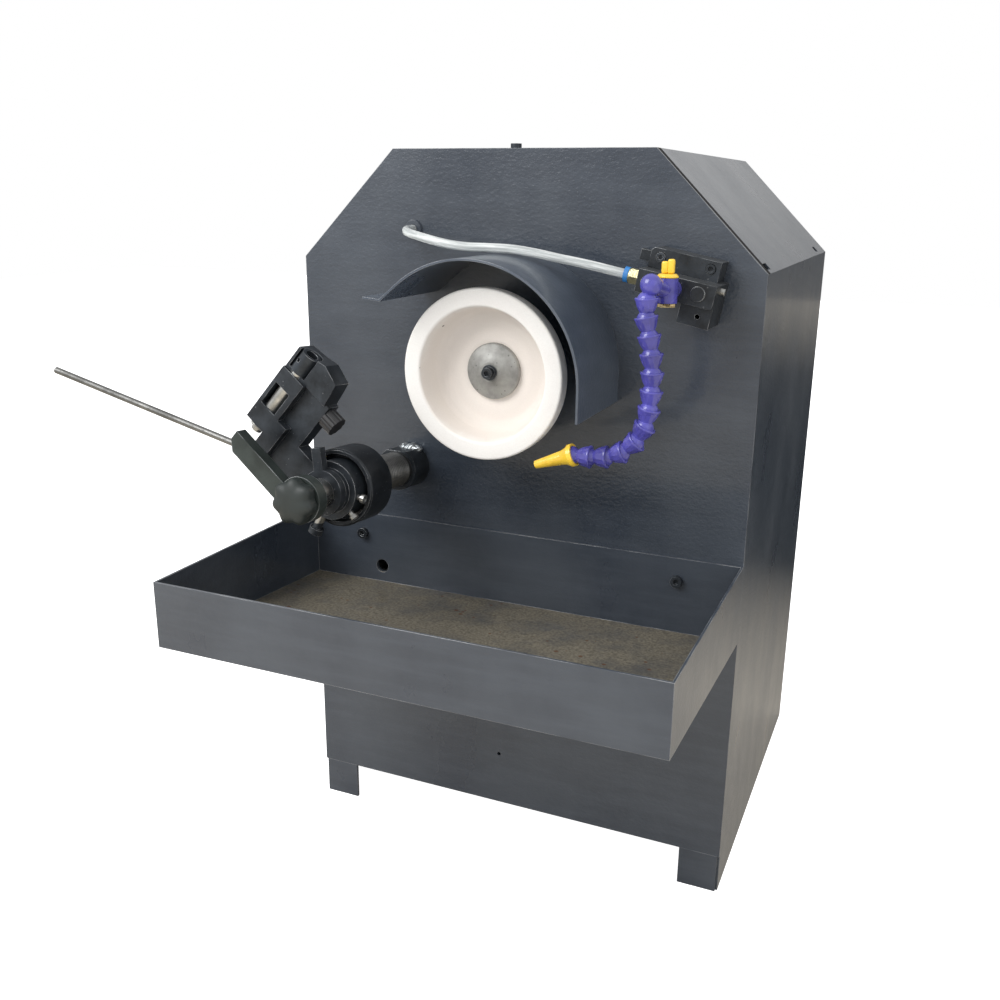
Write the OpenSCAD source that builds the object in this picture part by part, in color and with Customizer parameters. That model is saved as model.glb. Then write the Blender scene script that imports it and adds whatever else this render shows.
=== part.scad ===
// Wet grinding sharpener: a sheet steel cabinet that carries a cup wheel, a drip
// tray, a swinging tool arm and a coolant line with a segmented hose.
// Millimetres, +Z up. The origin is on the floor under the middle of the cabinet.

/* [Cabinet] */
// Width of the cabinet
cab_w = 450; // [440:5:480]
// Depth of the cabinet, front panel to rear cover
cab_d = 400; // [390:5:440]
// Height of the cabinet
cab_h = 700; // [690:5:740]
// Size of the cut upper corners
chamfer = 100; // [80:5:110]
// Thickness of the front panel
panel_t = 3; // [2.5:0.5:4]
// Thickness of the folded shell
shell_t = 2; // [1.5:0.5:3]
// Thickness of the rear cover
rear_t = 2; // [1.5:0.5:3]
// Height of the front panel's lower edge above the floor
panel_bottom = 40; // [38:1:48]
// Width of the turned-in edge that the rear cover is screwed to
flange_w = 20; // [18:1:26]

/* [Base frame] */
// Leg length of the angle iron
angle_leg = 40; // [36:1:40]
// Thickness of the angle iron
angle_t = 3; // [3:0.5:5]
// Width of the front foot plates
foot_w = 38; // [34:1:44]
// Diameter of the floor anchor holes
anchor_d = 9; // [8:0.5:11]
// Distance from the inside of the shell to an anchor hole
anchor_inset = 22; // [20:1:26]
// Distance between the front and the back anchor holes
anchor_pitch = 260; // [240:5:270]

/* [Drip tray] */
// Depth of the tray, out from the front panel
tray_d = 250; // [230:5:270]
// Height of the tray's rim above the floor
tray_top = 343; // [335:1:348]
// Height of the tray's front wall
tray_front_h = 60; // [50:1:70]
// Height of the tray's back wall
tray_back_h = 75; // [70:1:85]
// Thickness of the tray's sheet
tray_t = 2; // [1.5:0.5:3]
// Diameter of the drain hole
drain_d = 14; // [12:0.5:16]
// Distance from the middle of the cabinet to the drain hole
drain_x = 145; // [140:1:150]

/* [Wheel] */
// Height of the spindle above the floor
spindle_z = 510; // [505:1:515]
// Outer diameter of the cup wheel
wheel_d = 150; // [140:1:155]
// Thickness of the cup wheel
wheel_t = 50; // [46:1:54]
// Width of the rim that grinds
rim_w = 15.5; // [13:0.5:18]
// Thickness of the wheel's back wall
wheel_back_t = 19; // [16:0.5:22]
// Diameter of the wheel's back
wheel_back_d = 110; // [100:1:120]
// Bore of the wheel
wheel_bore = 32; // [31:0.5:33]
// Distance from the front panel to the wheel's back
wheel_out = 27; // [25:1:29]
// Diameter of the flanges that clamp the wheel
flange_d = 50; // [44:1:56]
// Diameter of the motor shaft
shaft_d = 25; // [23:0.5:26]

/* [Wheel guard] */
// Outer radius of the guard
guard_r = 101; // [98:0.5:101]
// Thickness of the guard's sheet
guard_t = 2; // [1.5:0.5:3]
// Depth of the guard, out from the front panel
guard_d = 110; // [100:1:112]
// Angle of the guard's arc, counted from the right-hand side
guard_arc = 130; // [120:1:135]
// Length of the straight stretch after the arc
guard_straight = 21; // [18:1:24]
// Length of the flared lip
guard_lip = 17; // [14:1:20]
// Length of the straight skirt below the spindle's height
guard_skirt = 27; // [20:1:32]

/* [Motor] */
// Diameter of the motor body
motor_d = 140; // [130:2:144]
// Length of the motor body between its end covers
motor_len = 130; // [120:5:150]
// Thickness of each end cover
cover_t = 20; // [18:1:24]
// Length of the fan cowl
cowl_len = 45; // [42:1:60]
// Outer diameter of the bearings
bearing_d = 52; // [48:1:56]
// Width of the bearings
bearing_w = 15; // [13:1:16]

/* [Coolant] */
// Width of the coolant tank
tank_w = 340; // [320:5:360]
// Depth of the coolant tank
tank_d = 230; // [200:5:240]
// Height of the coolant tank
tank_h = 170; // [150:5:180]
// Wall of the coolant tank
tank_t = 2.5; // [2:0.5:4]
// Outer diameter of the clear hose
hose_d = 8; // [8:0.1:8.4]
// Height of the hole that the clear hose leaves by
hose_hole_z = 628.5; // [628:0.5:629]
// Distance from the middle of the cabinet to that hole
hose_hole_x = 104; // [103.5:0.5:104.5]

/* [Manifold] */
// Distance of the bar's upper left corner from the middle of the cabinet
man_x = 133; // [132.5:0.5:133.5]
// Height of the bar's upper left corner
man_z = 621; // [620.5:0.5:621.5]
// Tilt of the manifold, right-hand end down
man_tilt = 11; // [10.5:0.5:11.5]
// Length of the clamp bar
bar_len = 60; // [58:1:64]
// Height of the clamp bar
bar_h = 17; // [16:0.5:18]
// Depth of the clamp bar
bar_d = 26; // [24:1:30]
// Depth of the valve block
block_d = 48; // [47:0.5:49]

/* [Coolant hose segments] */
// Distance from one ball joint to the next
seg_pitch = 14.6; // [14:0.1:15]
// Diameter of the balls
ball_d = 16; // [15.6:0.1:16.2]
// Wall around a ball
socket_wall = 1.5; // [1.2:0.1:1.8]
// Clearance between a ball and its socket
ball_gap = 0.15; // [0.1:0.05:0.25]
// Length of the nozzle
nozzle_len = 34; // [30:1:40]

/* [Tool arm] */
// Distance of the arm's shaft from the middle of the cabinet
arm_x = 111; // [110:1:116]
// Height of the arm's shaft at the front panel
arm_z = 400; // [396:1:402]
// Upward tilt of the arm's shaft
arm_tilt = 4.5; // [4:0.1:5]
// Angle of the arm at rest, clockwise from the horizontal
arm_rest = 40; // [35:1:45]
// Diameter of the boss on the panel
boss_d = 42; // [40:1:46]
// Length of the boss
boss_len = 30; // [26:1:34]
// Outer diameter of the threaded sleeve
sleeve_d = 34; // [32:0.5:36]
// Diameter of the shaft that turns in the sleeve
arm_shaft_d = 25; // [23:0.5:26]
// Diameter of the feed collar
collar_d = 70; // [64:1:74]
// Width of the feed collar
collar_w = 37; // [34:1:38]
// Distance from the front panel to the feed collar
collar_out = 100; // [98:1:102]
// Diameter of the hub
hub_d = 52; // [50:1:56]
// Thickness of the bent bracket
bracket_t = 16; // [14:1:18]
// Distance from the shaft's axis to the bracket's far side
bracket_reach = 61; // [59:1:63]
// Height of the bracket's upright above the shaft's axis
upright_h = 57; // [54:1:60]
// Width of the tool block
tool_block_w = 37; // [34:1:40]
// Depth of the tool block
tool_block_d = 24; // [22:1:26]
// Bore of the tool socket
socket_bore = 11; // [10:0.5:12]
// Depth of the tool socket
socket_depth = 16; // [14:1:17]
// Diameter of the star knob
knob_d = 40; // [36:1:44]
// Diameter of the lever rod
rod_d = 6; // [5:0.5:8]
// Length of the lever rod outside the arm bar
rod_len = 200; // [180:5:215]

/* [Switch box] */
// Height of the switch box's middle
switch_z = 560; // [540:5:570]
// Distance of the switch box's middle behind the front panel
switch_y = 150; // [140:5:200]
// Depth of the switch box, out from the side
switch_out = 40; // [36:1:48]
// Travel of the start and stop buttons
button_travel = 3; // [2:0.5:4]

/* [Clearances] */
// Radial clearance of a shaft that turns in its bore
run_gap = 0.05; // [0.03:0.01:0.1]
// Gap between flat faces that move past each other
face_gap = 0.3; // [0.2:0.1:0.5]
// Radial clearance of a screw or pipe in its hole
hole_gap = 0.3; // [0.2:0.1:0.5]

/* [Hidden] */

$fn = 96;
eps = 0.01;
front_y = -cab_d / 2;
inner_half = cab_w / 2 - shell_t;
slate = "#3b444d";
black = "#1f2224";

// Places a piece on the front panel: x to the right, y up, z out of the panel.
module on_face(x = 0, z = 0, out = 0) {
    translate([x, front_y - out, z]) rotate([90, 0, 0]) children();
}

// A ring between two radii, standing on z = 0.
module ring(outer_r, inner_r, h) {
    difference() {
        cylinder(r = outer_r, h = h);
        translate([0, 0, -1]) cylinder(r = inner_r, h = h + 2);
    }
}

// A disc turned from its outline of [radius, height] points.
module turned(points) {
    rotate_extrude() polygon(points);
}

// A cylinder from one point to another.
module rod_between(a, b, r) {
    d = b - a;
    len = norm(d);
    translate(a) rotate([0, acos(d[2] / len), atan2(d[1], d[0])]) cylinder(r = r, h = len);
}

// A socket head screw with its head on z = 0 and its shank below.
module socket_screw(shank_r, shank_len, head_r, head_h) {
    key_r = head_r * 0.55;
    difference() {
        union() {
            translate([0, 0, -shank_len]) cylinder(r = shank_r, h = shank_len + eps);
            cylinder(r = head_r, h = head_h);
        }
        translate([0, 0, head_h * 0.4]) cylinder(r = key_r, h = head_h, $fn = 6);
    }
}

// ---- Cabinet ----

// The cabinet's front outline, moved inwards by inset and cut off at bottom.
module cabinet_outline(inset = 0, bottom = 0) {
    half = cab_w / 2 - inset;
    fold = (sqrt(2) - 1) * inset;
    shoulder = cab_h - chamfer - fold;
    top_half = cab_w / 2 - chamfer - fold;
    top = cab_h - inset;
    polygon([
        [-half, bottom], [-half, shoulder], [-top_half, top],
        [top_half, top], [half, shoulder], [half, bottom]
    ]);
}

tray_screw_x = 166;
tray_screw_z = 321;
tray_screw_r = 3;
drain_z = tray_top - tray_back_h + tray_t + drain_d / 2 + 10;
grommet_r = 6.5;
boss_hole_r = sleeve_d / 2 + 1.5;
pilot_x = -11;
pilot_z = 97;

module front_panel() {
    color(slate) on_face(0, 0, -panel_t) linear_extrude(panel_t) difference() {
        cabinet_outline(0, panel_bottom);
        translate([0, spindle_z]) circle(r = shaft_d / 2 + 8);
        translate([-arm_x, arm_z]) circle(r = boss_hole_r);
        translate([-hose_hole_x, hose_hole_z]) circle(r = grommet_r + hole_gap);
        translate([-drain_x, drain_z]) circle(r = drain_d / 2);
        translate([man_x, man_z]) rotate(-man_tilt) for (x = bar_screw_x) {
            translate([x, bar_screw_y]) circle(r = bar_screw_r + hole_gap);
        }
        for (side = [-1, 1]) {
            translate([side * tray_screw_x, tray_screw_z]) circle(r = tray_screw_r + hole_gap);
        }
        translate([pilot_x, pilot_z]) circle(r = 2);
    }
}

slot_len = 16;
slot_h = 5;
slot_y = [20, 340];
cover_screw_r = 2.5;
cover_screw_x = 0.47 * cab_w;
cover_screw_low = 120;
cover_screw_high = cab_h - chamfer - 40;
cover_screw_z = [cover_screw_low, (cover_screw_low + cover_screw_high) / 2, cover_screw_high];

module cover_screw_places() {
    for (side = [-1, 1], z = cover_screw_z) translate([side * cover_screw_x, z, 0]) children();
    for (x = [-80, 80]) translate([x, cab_h - flange_w / 2 - shell_t, 0]) children();
}

module cabinet_shell() {
    depth = cab_d - rear_t - panel_t;
    color(slate) difference() {
        union() {
            on_face(0, 0, -(cab_d - rear_t)) linear_extrude(depth) difference() {
                cabinet_outline();
                cabinet_outline(shell_t, -1);
            }
            on_face(0, 0, -(cab_d - rear_t)) linear_extrude(shell_t) difference() {
                cabinet_outline(shell_t / 2, panel_bottom);
                cabinet_outline(flange_w, panel_bottom - 1);
            }
        }
        for (side = [-1, 1], y = slot_y) {
            translate([side * (cab_w / 2 - slot_h), front_y + y, cab_h - chamfer + slot_h])
                cube([3 * slot_h, slot_len, slot_h], center = true);
        }
        on_face(0, 0, -cab_d) cover_screw_places()
            translate([0, 0, -1]) cylinder(r = cover_screw_r + hole_gap, h = 20);
        translate([-cab_w / 2 - 1, front_y + switch_y, switch_z])
            rotate([0, 90, 0]) cylinder(r = 8, h = 10);
    }
}

module rear_cover() {
    vent_rows = 6;
    vent_pitch = 18;
    vent_w = 90;
    vent_h = 5;
    color(slate) on_face(0, 0, -cab_d) difference() {
        linear_extrude(rear_t) cabinet_outline(1, 12);
        cover_screw_places()
            translate([0, 0, -1]) cylinder(r = cover_screw_r + hole_gap, h = rear_t + 2);
        for (side = [-1, 1], row = [0:vent_rows - 1]) {
            translate([side * 70, spindle_z + (row - 2.5) * vent_pitch, rear_t / 2])
                cube([vent_w, vent_h, rear_t + 2], center = true);
        }
    }
}

stud_x = -14;
stud_y = 30;

module cabinet_screws() {
    head_h = 5;
    color("#8d9296") {
        for (side = [-1, 1]) {
            on_face(side * tray_screw_x, tray_screw_z, tray_t)
                socket_screw(tray_screw_r, tray_t + panel_t + 6, 5.5, head_h);
        }
        on_face(0, 0, -cab_d) mirror([0, 0, 1]) cover_screw_places()
            socket_screw(cover_screw_r, rear_t + shell_t + 6, 4.5, 3);
        translate([stud_x, front_y + stud_y, cab_h]) cylinder(r = 5, h = 5);
    }
}

module anchor_places() {
    for (sx = [-1, 1], sy = [-1, 1]) {
        translate([sx * (inner_half - anchor_inset), sy * anchor_pitch / 2, 0]) children();
    }
}

frame_top = min(angle_leg, panel_bottom);

module base_frame() {
    back_y = cab_d / 2 - rear_t;
    flange_front = -anchor_pitch / 2 - anchor_d / 2 - 8;
    color(slate) difference() {
        union() {
            for (side = [-1, 1]) {
                mirror([side < 0 ? 1 : 0, 0, 0]) {
                    translate([inner_half - angle_leg, flange_front, 0])
                        cube([angle_leg, back_y - flange_front, angle_t]);
                    translate([inner_half - angle_t, front_y, 0])
                        cube([angle_t, back_y - front_y, frame_top]);
                    translate([inner_half - foot_w, front_y, 0])
                        cube([foot_w, angle_t, panel_bottom]);
                }
            }
            translate([-inner_half, back_y - angle_leg, 0])
                cube([2 * inner_half, angle_leg, angle_t]);
            translate([-inner_half, back_y - angle_t, 0])
                cube([2 * inner_half, angle_t, frame_top]);
        }
        anchor_places() translate([0, 0, -1]) cylinder(r = anchor_d / 2, h = angle_t + 2);
    }
}

// ---- Shelves inside the cabinet ----

shelf_t = 3;
motor_shelf_top = spindle_z - motor_d / 2 - 8;
motor_shelf_d = 270;
tank_front = 8;
riser_in = 45;

module inner_shelves() {
    shelf_front = front_y + panel_t;
    color("#596067") {
        difference() {
            translate([-inner_half, shelf_front, motor_shelf_top - shelf_t])
                cube([2 * inner_half, motor_shelf_d, shelf_t]);
            translate([-hose_hole_x, front_y + riser_in, motor_shelf_top - shelf_t - 1])
                cylinder(r = hose_d / 2 + 6, h = shelf_t + 2);
        }
        translate([-inner_half, front_y + max(panel_t, angle_t), frame_top])
            cube([2 * inner_half, tank_front + tank_d + 10, shelf_t]);
    }
}

// ---- Drip tray ----

module tray_profile(inset) {
    bottom_back = tray_top - tray_back_h + inset;
    bottom_front = tray_top - tray_front_h + inset;
    top = tray_top + (inset > 0 ? 1 : 0);
    polygon([
        [inset, bottom_back], [inset, top], [tray_d - inset, top],
        [tray_d - inset, bottom_front]
    ]);
}

module drip_tray() {
    color(slate) difference() {
        translate([-cab_w / 2, front_y, 0]) rotate([90, 0, 90])
            linear_extrude(cab_w) mirror([1, 0]) tray_profile(0);
        translate([-cab_w / 2 + tray_t, front_y, 0]) rotate([90, 0, 90])
            linear_extrude(cab_w - 2 * tray_t) mirror([1, 0]) tray_profile(tray_t);
        on_face(-drain_x, drain_z, -1) cylinder(r = drain_d / 2, h = tray_t + 2);
        for (side = [-1, 1]) {
            on_face(side * tray_screw_x, tray_screw_z, -1)
                cylinder(r = tray_screw_r + hole_gap, h = tray_t + 2);
        }
    }
}

// ---- Wheel, guard and motor ----

wheel_front = wheel_out + wheel_t;
bowl_out = wheel_out + wheel_back_t;
shaft_end = bowl_out - 4;
clamp_face = bowl_out + 11;
clamp_washer_t = 1.5;

module grinding_wheel() {
    r = wheel_d / 2;
    bore_r = wheel_bore / 2;
    color("#efe9e2") on_face(0, spindle_z) turned([
        [bore_r, wheel_out], [wheel_back_d / 2, wheel_out], [r, wheel_front - 14],
        [r, wheel_front - 1], [r - 1, wheel_front], [r - rim_w + 1, wheel_front],
        [r - rim_w, wheel_front - 1], [r - rim_w - 5, wheel_front - 22],
        [r - rim_w - 9, bowl_out + 3], [r - rim_w - 14, bowl_out], [bore_r, bowl_out]
    ]);
}

module back_flange() {
    hub_r = wheel_bore / 2 - run_gap;
    bore_r = shaft_d / 2 + run_gap;
    color("#9aa0a3") on_face(0, spindle_z) turned([
        [bore_r, wheel_out - 12], [flange_d / 2 + 5, wheel_out - 12],
        [flange_d / 2 + 5, wheel_out], [hub_r, wheel_out], [hub_r, bowl_out - 2],
        [bore_r, bowl_out - 2]
    ]);
}

clamp_screw_r = 3;

module front_flange() {
    r = flange_d / 2;
    color("#a7acad") on_face(0, spindle_z) turned([
        [clamp_screw_r + hole_gap, bowl_out], [r, bowl_out], [r, bowl_out + 4],
        [r - 1, bowl_out + 5], [11, clamp_face - 1], [9, clamp_face],
        [clamp_screw_r + hole_gap, clamp_face]
    ]);
}

module clamp_screw() {
    color(black) on_face(0, spindle_z) {
        translate([0, 0, clamp_face]) ring(7, clamp_screw_r + hole_gap, clamp_washer_t);
        translate([0, 0, clamp_face + clamp_washer_t])
            socket_screw(clamp_screw_r, clamp_face - shaft_end + 18, 5, 6);
    }
}

module rotor_shaft() {
    drum_r = motor_d / 2 - 32;
    tail = cover_back - 34;
    blades = 6;
    fan_hub_r = 24;
    fan_h = 14;
    color("#b4b8ba") on_face(0, spindle_z) {
        difference() {
            union() {
                translate([0, 0, tail]) cylinder(r = shaft_d / 2, h = shaft_end - tail);
                translate([0, 0, body_back + 15])
                    cylinder(r = drum_r, h = motor_len - 30);
                translate([0, 0, tail + 8]) cylinder(r = fan_hub_r, h = fan_h);
                for (i = [0:blades - 1]) {
                    rotate([0, 0, i * 360 / blades])
                        translate([fan_hub_r - 4, -1.5, tail + 9])
                            cube([motor_d / 2 - fan_hub_r - 6, 3, fan_h - 2]);
                }
            }
            translate([0, 0, shaft_end - 24]) cylinder(r = clamp_screw_r + run_gap, h = 30);
        }
    }
}

cover_front = -panel_t;
body_front = cover_front - cover_t;
body_back = body_front - motor_len;
cover_back = body_back - cover_t;

module motor_body() {
    foot_h = spindle_z - motor_shelf_top;
    foot_len = 24;
    color("#4a5560") on_face(0, spindle_z) difference() {
        union() {
            translate([0, 0, body_back]) cylinder(r = motor_d / 2, h = motor_len);
            for (at = [body_back + 4, body_front - foot_len - 4]) {
                translate([-55, -foot_h, at]) cube([110, foot_h - 40, foot_len]);
            }
        }
        translate([0, 0, body_back - 1]) cylinder(r = motor_d / 2 - 31, h = motor_len + 2);
    }
}

module end_cover(bearing_side) {
    flip = bearing_side > 0 ? 0 : 1;
    translate([0, 0, flip * cover_t]) mirror([0, 0, flip]) difference() {
        cylinder(r = motor_d / 2, h = cover_t);
        translate([0, 0, -1]) cylinder(r = shaft_d / 2 + 1, h = cover_t + 2);
        translate([0, 0, cover_t - bearing_w]) cylinder(r = bearing_d / 2 + run_gap, h = cover_t);
    }
}

module motor_covers() {
    cowl_r = motor_d / 2 - 2;
    vents = 8;
    color("#4a5560") on_face(0, spindle_z) {
        translate([0, 0, body_front]) end_cover(-1);
        translate([0, 0, cover_back]) end_cover(1);
        translate([0, 0, cover_back - cowl_len]) difference() {
            cylinder(r = cowl_r, h = cowl_len);
            translate([0, 0, 2]) cylinder(r = cowl_r - 2, h = cowl_len);
            for (i = [0:vents - 1]) {
                rotate([0, 0, i * 360 / vents]) translate([22, 0, -1]) cylinder(r = 7, h = 4);
            }
        }
        difference() {
            translate([-45, motor_d / 2 - 12, body_back + 30]) cube([90, 42, 70]);
            translate([0, 0, body_back]) cylinder(r = motor_d / 2 + eps, h = motor_len);
        }
    }
}

module motor_bearings() {
    color("#c3c6c8") on_face(0, spindle_z) {
        translate([0, 0, body_front]) ring(bearing_d / 2, shaft_d / 2 + run_gap, bearing_w);
        translate([0, 0, body_back - bearing_w])
            ring(bearing_d / 2, shaft_d / 2 + run_gap, bearing_w);
    }
}

module wheel_guard() {
    mid_r = guard_r - guard_t;
    color(slate) on_face(0, spindle_z) linear_extrude(guard_d) {
        intersection() {
            difference() {
                circle(r = guard_r);
                circle(r = mid_r);
            }
            polygon([
                [0, 0], [2 * guard_r, 0], [2 * guard_r, 2 * guard_r], [0, 2 * guard_r],
                2 * guard_r * [cos(guard_arc), sin(guard_arc)]
            ]);
        }
        translate([mid_r, -guard_skirt]) square([guard_t, guard_skirt]);
        rotate(guard_arc) translate([mid_r, 0]) {
            square([guard_t, guard_straight]);
            translate([0, guard_straight]) rotate(-45) square([guard_t, guard_lip]);
        }
    }
}

// ---- Coolant ----

tank_floor = frame_top + shelf_t;
tank_y = front_y + panel_t + tank_front;
pump_r = 30;
pump_h = 95;

module coolant_tank() {
    color("#7d8790") translate([-tank_w / 2, tank_y, tank_floor]) difference() {
        cube([tank_w, tank_d, tank_h]);
        translate([tank_t, tank_t, tank_t])
            cube([tank_w - 2 * tank_t, tank_d - 2 * tank_t, tank_h]);
    }
}

riser_r = hose_d / 2;
riser_bend = 30;
pump_top = tank_floor + tank_t + pump_h;
hose_tail = 12;

module pump_body() {
    color(black) translate([-hose_hole_x, front_y + riser_in, tank_floor + tank_t]) difference() {
        union() {
            cylinder(r = pump_r, h = pump_h - 20);
            translate([0, 0, pump_h - 20 - eps]) cylinder(r = 12, h = 20);
        }
        translate([0, 0, pump_h - 12]) cylinder(r = riser_r + run_gap, h = 20);
        for (i = [0:7]) {
            rotate([0, 0, i * 45]) translate([pump_r - 4, -2, 6]) cube([8, 4, 18]);
        }
    }
}

module riser_pipe() {
    rise = hose_hole_z - riser_bend - (pump_top - 12);
    y = front_y + riser_in;
    color("#b8c4c4") translate([-hose_hole_x, y, 0]) {
        translate([0, 0, pump_top - 12]) cylinder(r = riser_r, h = rise);
        translate([0, -riser_bend, hose_hole_z - riser_bend]) rotate([90, 0, 90])
            rotate_extrude(angle = 90) translate([riser_bend, 0]) circle(r = riser_r, $fn = 48);
        translate([0, -riser_bend, hose_hole_z]) rotate([90, 0, 0])
            cylinder(r = riser_r, h = riser_in - riser_bend - hose_tail);
    }
}

module drain_pipe() {
    outer_r = drain_d / 2 + 2;
    inner_r = drain_d / 2;
    bend = 24;
    into_tank = 20;
    below = drain_z - bend - (tank_floor + tank_h - into_tank);
    color("#3a3d40") translate([-drain_x, front_y + panel_t, drain_z]) {
        translate([0, 0, -bend]) rotate([90, 0, 90]) rotate_extrude(angle = 90)
            translate([bend, 0]) difference() {
                circle(r = outer_r, $fn = 48);
                circle(r = inner_r, $fn = 48);
            }
        translate([0, bend, -bend - below]) ring(outer_r, inner_r, below);
    }
}

module panel_grommet() {
    color(black) on_face(-hose_hole_x, hose_hole_z, -panel_t - 2) turned([
        [hose_d / 2 + run_gap, 0], [grommet_r + 2.5, 0], [grommet_r + 2.5, 2], [grommet_r, 2],
        [grommet_r, panel_t + 2], [grommet_r + 2.5, panel_t + 2],
        [grommet_r + 1.5, panel_t + 4.5], [hose_d / 2 + run_gap, panel_t + 4.5]
    ]);
}

// The clear hose is held by the grommet and by the fitting. Its route, as
// [x, height, distance out of the panel]:
hose_route = [
    [-104, 628.5, -12], [-104, 628.5, 5], [-103.6, 628.4, 12], [-101, 628, 20],
    [-97, 627, 27], [-91, 626, 32.5], [-82, 624.5, 37], [-70, 622, 39.5], [-52, 618.5, 40.5],
    [-32, 616.5, 41], [-10, 616.2, 41], [12, 615.6, 41], [34, 613, 40.5], [54, 609.5, 39.5],
    [72, 606.6, 38.6], [88.9, 603.6, 38], [103.6, 600.7, 38], [122.2, 597.1, 38]
];
hose_sides = 12;

function unit(v) = v / norm(v);

// Direction of the route at point i.
function heading(route, i) =
    unit(route[min(i + 1, len(route) - 1)] - route[max(i - 1, 0)]);

// One ring of a swept tube. The reference direction is the vertical.
function sweep_ring(route, i, r, sides) =
    let (t = heading(route, i), side = unit(cross(t, [0, 1, 0])), up = cross(side, t))
    [for (k = [0:sides - 1])
        route[i] + r * (cos(k * 360 / sides) * side + sin(k * 360 / sides) * up)];

module swept_tube(route, r, sides) {
    n = len(route);
    points = [for (i = [0:n - 1]) each sweep_ring(route, i, r, sides)];
    side_faces = [for (i = [0:n - 2], k = [0:sides - 1])
        [i * sides + k, i * sides + (k + 1) % sides,
         (i + 1) * sides + (k + 1) % sides, (i + 1) * sides + k]];
    start_face = [[for (k = [0:sides - 1]) sides - 1 - k]];
    end_face = [[for (k = [0:sides - 1]) (n - 1) * sides + k]];
    polyhedron(points, concat(side_faces, start_face, end_face), convexity = 6);
}

module supply_hose() {
    color("#cfd8d6") on_face() swept_tube(hose_route, hose_d / 2, hose_sides);
}

// Places a piece on the manifold: x along the bar from its left end, y up from
// its upper edge, z out of the panel.
module on_manifold(x = 0, y = 0, out = 0) {
    on_face(man_x, man_z) rotate([0, 0, -man_tilt]) translate([x, y, out]) children();
}

fitting_y = -25.7;
fitting_out = 38;
fitting_hex_r = 7;
bar_screw_x = [9, bar_len - 8];
bar_screw_y = -7;
bar_screw_r = 2.5;
plug_y = -22;
plug_out = 30;

module push_fitting() {
    color("#d9cf9a") on_manifold(-1, fitting_y, fitting_out) rotate([0, -90, 0]) difference() {
        union() {
            cylinder(r = fitting_hex_r, h = 8, $fn = 6);
            translate([0, 0, 8 - eps]) cylinder(r = 6, h = 1.5);
        }
        translate([0, 0, 5]) cylinder(r = hose_d / 2 + hole_gap, h = 20);
        translate([0, 0, -1]) cylinder(r = 2, h = 20);
    }
}

module release_collar() {
    color("#2f6fae") on_manifold(-10.5, fitting_y, fitting_out) rotate([0, -90, 0])
        ring(6.5, hose_d / 2 + 2 * hole_gap, 4);
}

module manifold_bar() {
    corner = 4;
    color(black) difference() {
        union() {
            on_manifold(0, -bar_h, 0) cube([bar_len, bar_h - corner, bar_d]);
            on_manifold(corner, -bar_h, 0) cube([bar_len - corner, bar_h, bar_d]);
            on_manifold(corner, -corner, 0) cylinder(r = corner, h = bar_d);
            on_manifold(-12, -14, 4) cube([12 + eps, 9, 9]);
        }
        for (x = bar_screw_x) {
            on_manifold(x, bar_screw_y, bar_d - 3) cylinder(r = 4.3, h = 10);
            on_manifold(x, bar_screw_y, -1) cylinder(r = bar_screw_r + hole_gap, h = bar_d + 2);
        }
    }
}

block_len = 66;
block_band_h = 19;
lug_x = 38;
lug_h = 17;
lug_d = 42;
boss_at = [51, -26];
lug_hole_at = [54, -44.5];

module manifold_block() {
    color(black) difference() {
        union() {
            on_manifold(-1, -bar_h - block_band_h, 0)
                cube([block_len, block_band_h, block_d]);
            on_manifold(lug_x, -bar_h - block_band_h - lug_h, 0)
                cube([block_len - lug_x - 1, lug_h + eps, lug_d]);
            on_manifold(boss_at[0], boss_at[1], block_d - eps) cylinder(r = 6, h = 1.5);
        }
        on_manifold(lug_hole_at[0], lug_hole_at[1], 6) cylinder(r = 2, h = lug_d);
        on_manifold(-2, fitting_y, fitting_out) rotate([0, 90, 0]) cylinder(r = 3, h = 34);
        on_manifold(block_len - 8, plug_y, plug_out) rotate([0, 90, 0])
            cylinder(r = 3 + run_gap, h = 10);
    }
}

module manifold_screws() {
    for (x = bar_screw_x) {
        color(black) on_manifold(x, bar_screw_y, bar_d - 3)
            socket_screw(bar_screw_r, bar_d + 4, 4, 4);
    }
    color("#dfe2e2") on_manifold(block_len - 7, plug_y, plug_out) rotate([0, 90, 0])
        cylinder(r = 3, h = 10);
}

// ---- Tap and segmented hose ----

tap_x = 157.5;
tap_z = 589;
tap_out = 66;
barrel_r = 8.5;
barrel_low = 579.5;
barrel_top = 599;
stem_r = 3;
hose_out = 90;
hose_start = [148, 582.5];
outlet_heading = -102;
elbow_drop = 13;
elbow_at = [
    hose_start[0] - elbow_drop * cos(outlet_heading),
    hose_start[1] - elbow_drop * sin(outlet_heading), hose_out
];
ball_r = ball_d / 2;
neck_r = 5.2;
flow_r = 3;

module tap_body() {
    color("#4a3fa0") difference() {
        union() {
            on_face(tap_x, tap_z, block_d) cylinder(r = 7.5, h = tap_out - block_d);
            translate([tap_x, front_y - tap_out, barrel_low])
                cylinder(r = barrel_r, h = barrel_top - barrel_low);
            on_face() rod_between([tap_x, tap_z, tap_out], elbow_at, 6.5);
            on_hose(hose_start, outlet_heading) {
                translate([0, 0, -elbow_drop]) sphere(r = 8.6);
                translate([0, 0, -elbow_drop]) cylinder(r = neck_r, h = elbow_drop);
                sphere(r = ball_r);
            }
        }
        translate([tap_x, front_y - tap_out, barrel_low - 1])
            cylinder(r = stem_r + run_gap, h = barrel_top - barrel_low + 2);
        on_hose(hose_start, outlet_heading) translate([0, 0, 5]) cylinder(r = ball_d, h = ball_d);
    }
}

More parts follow.
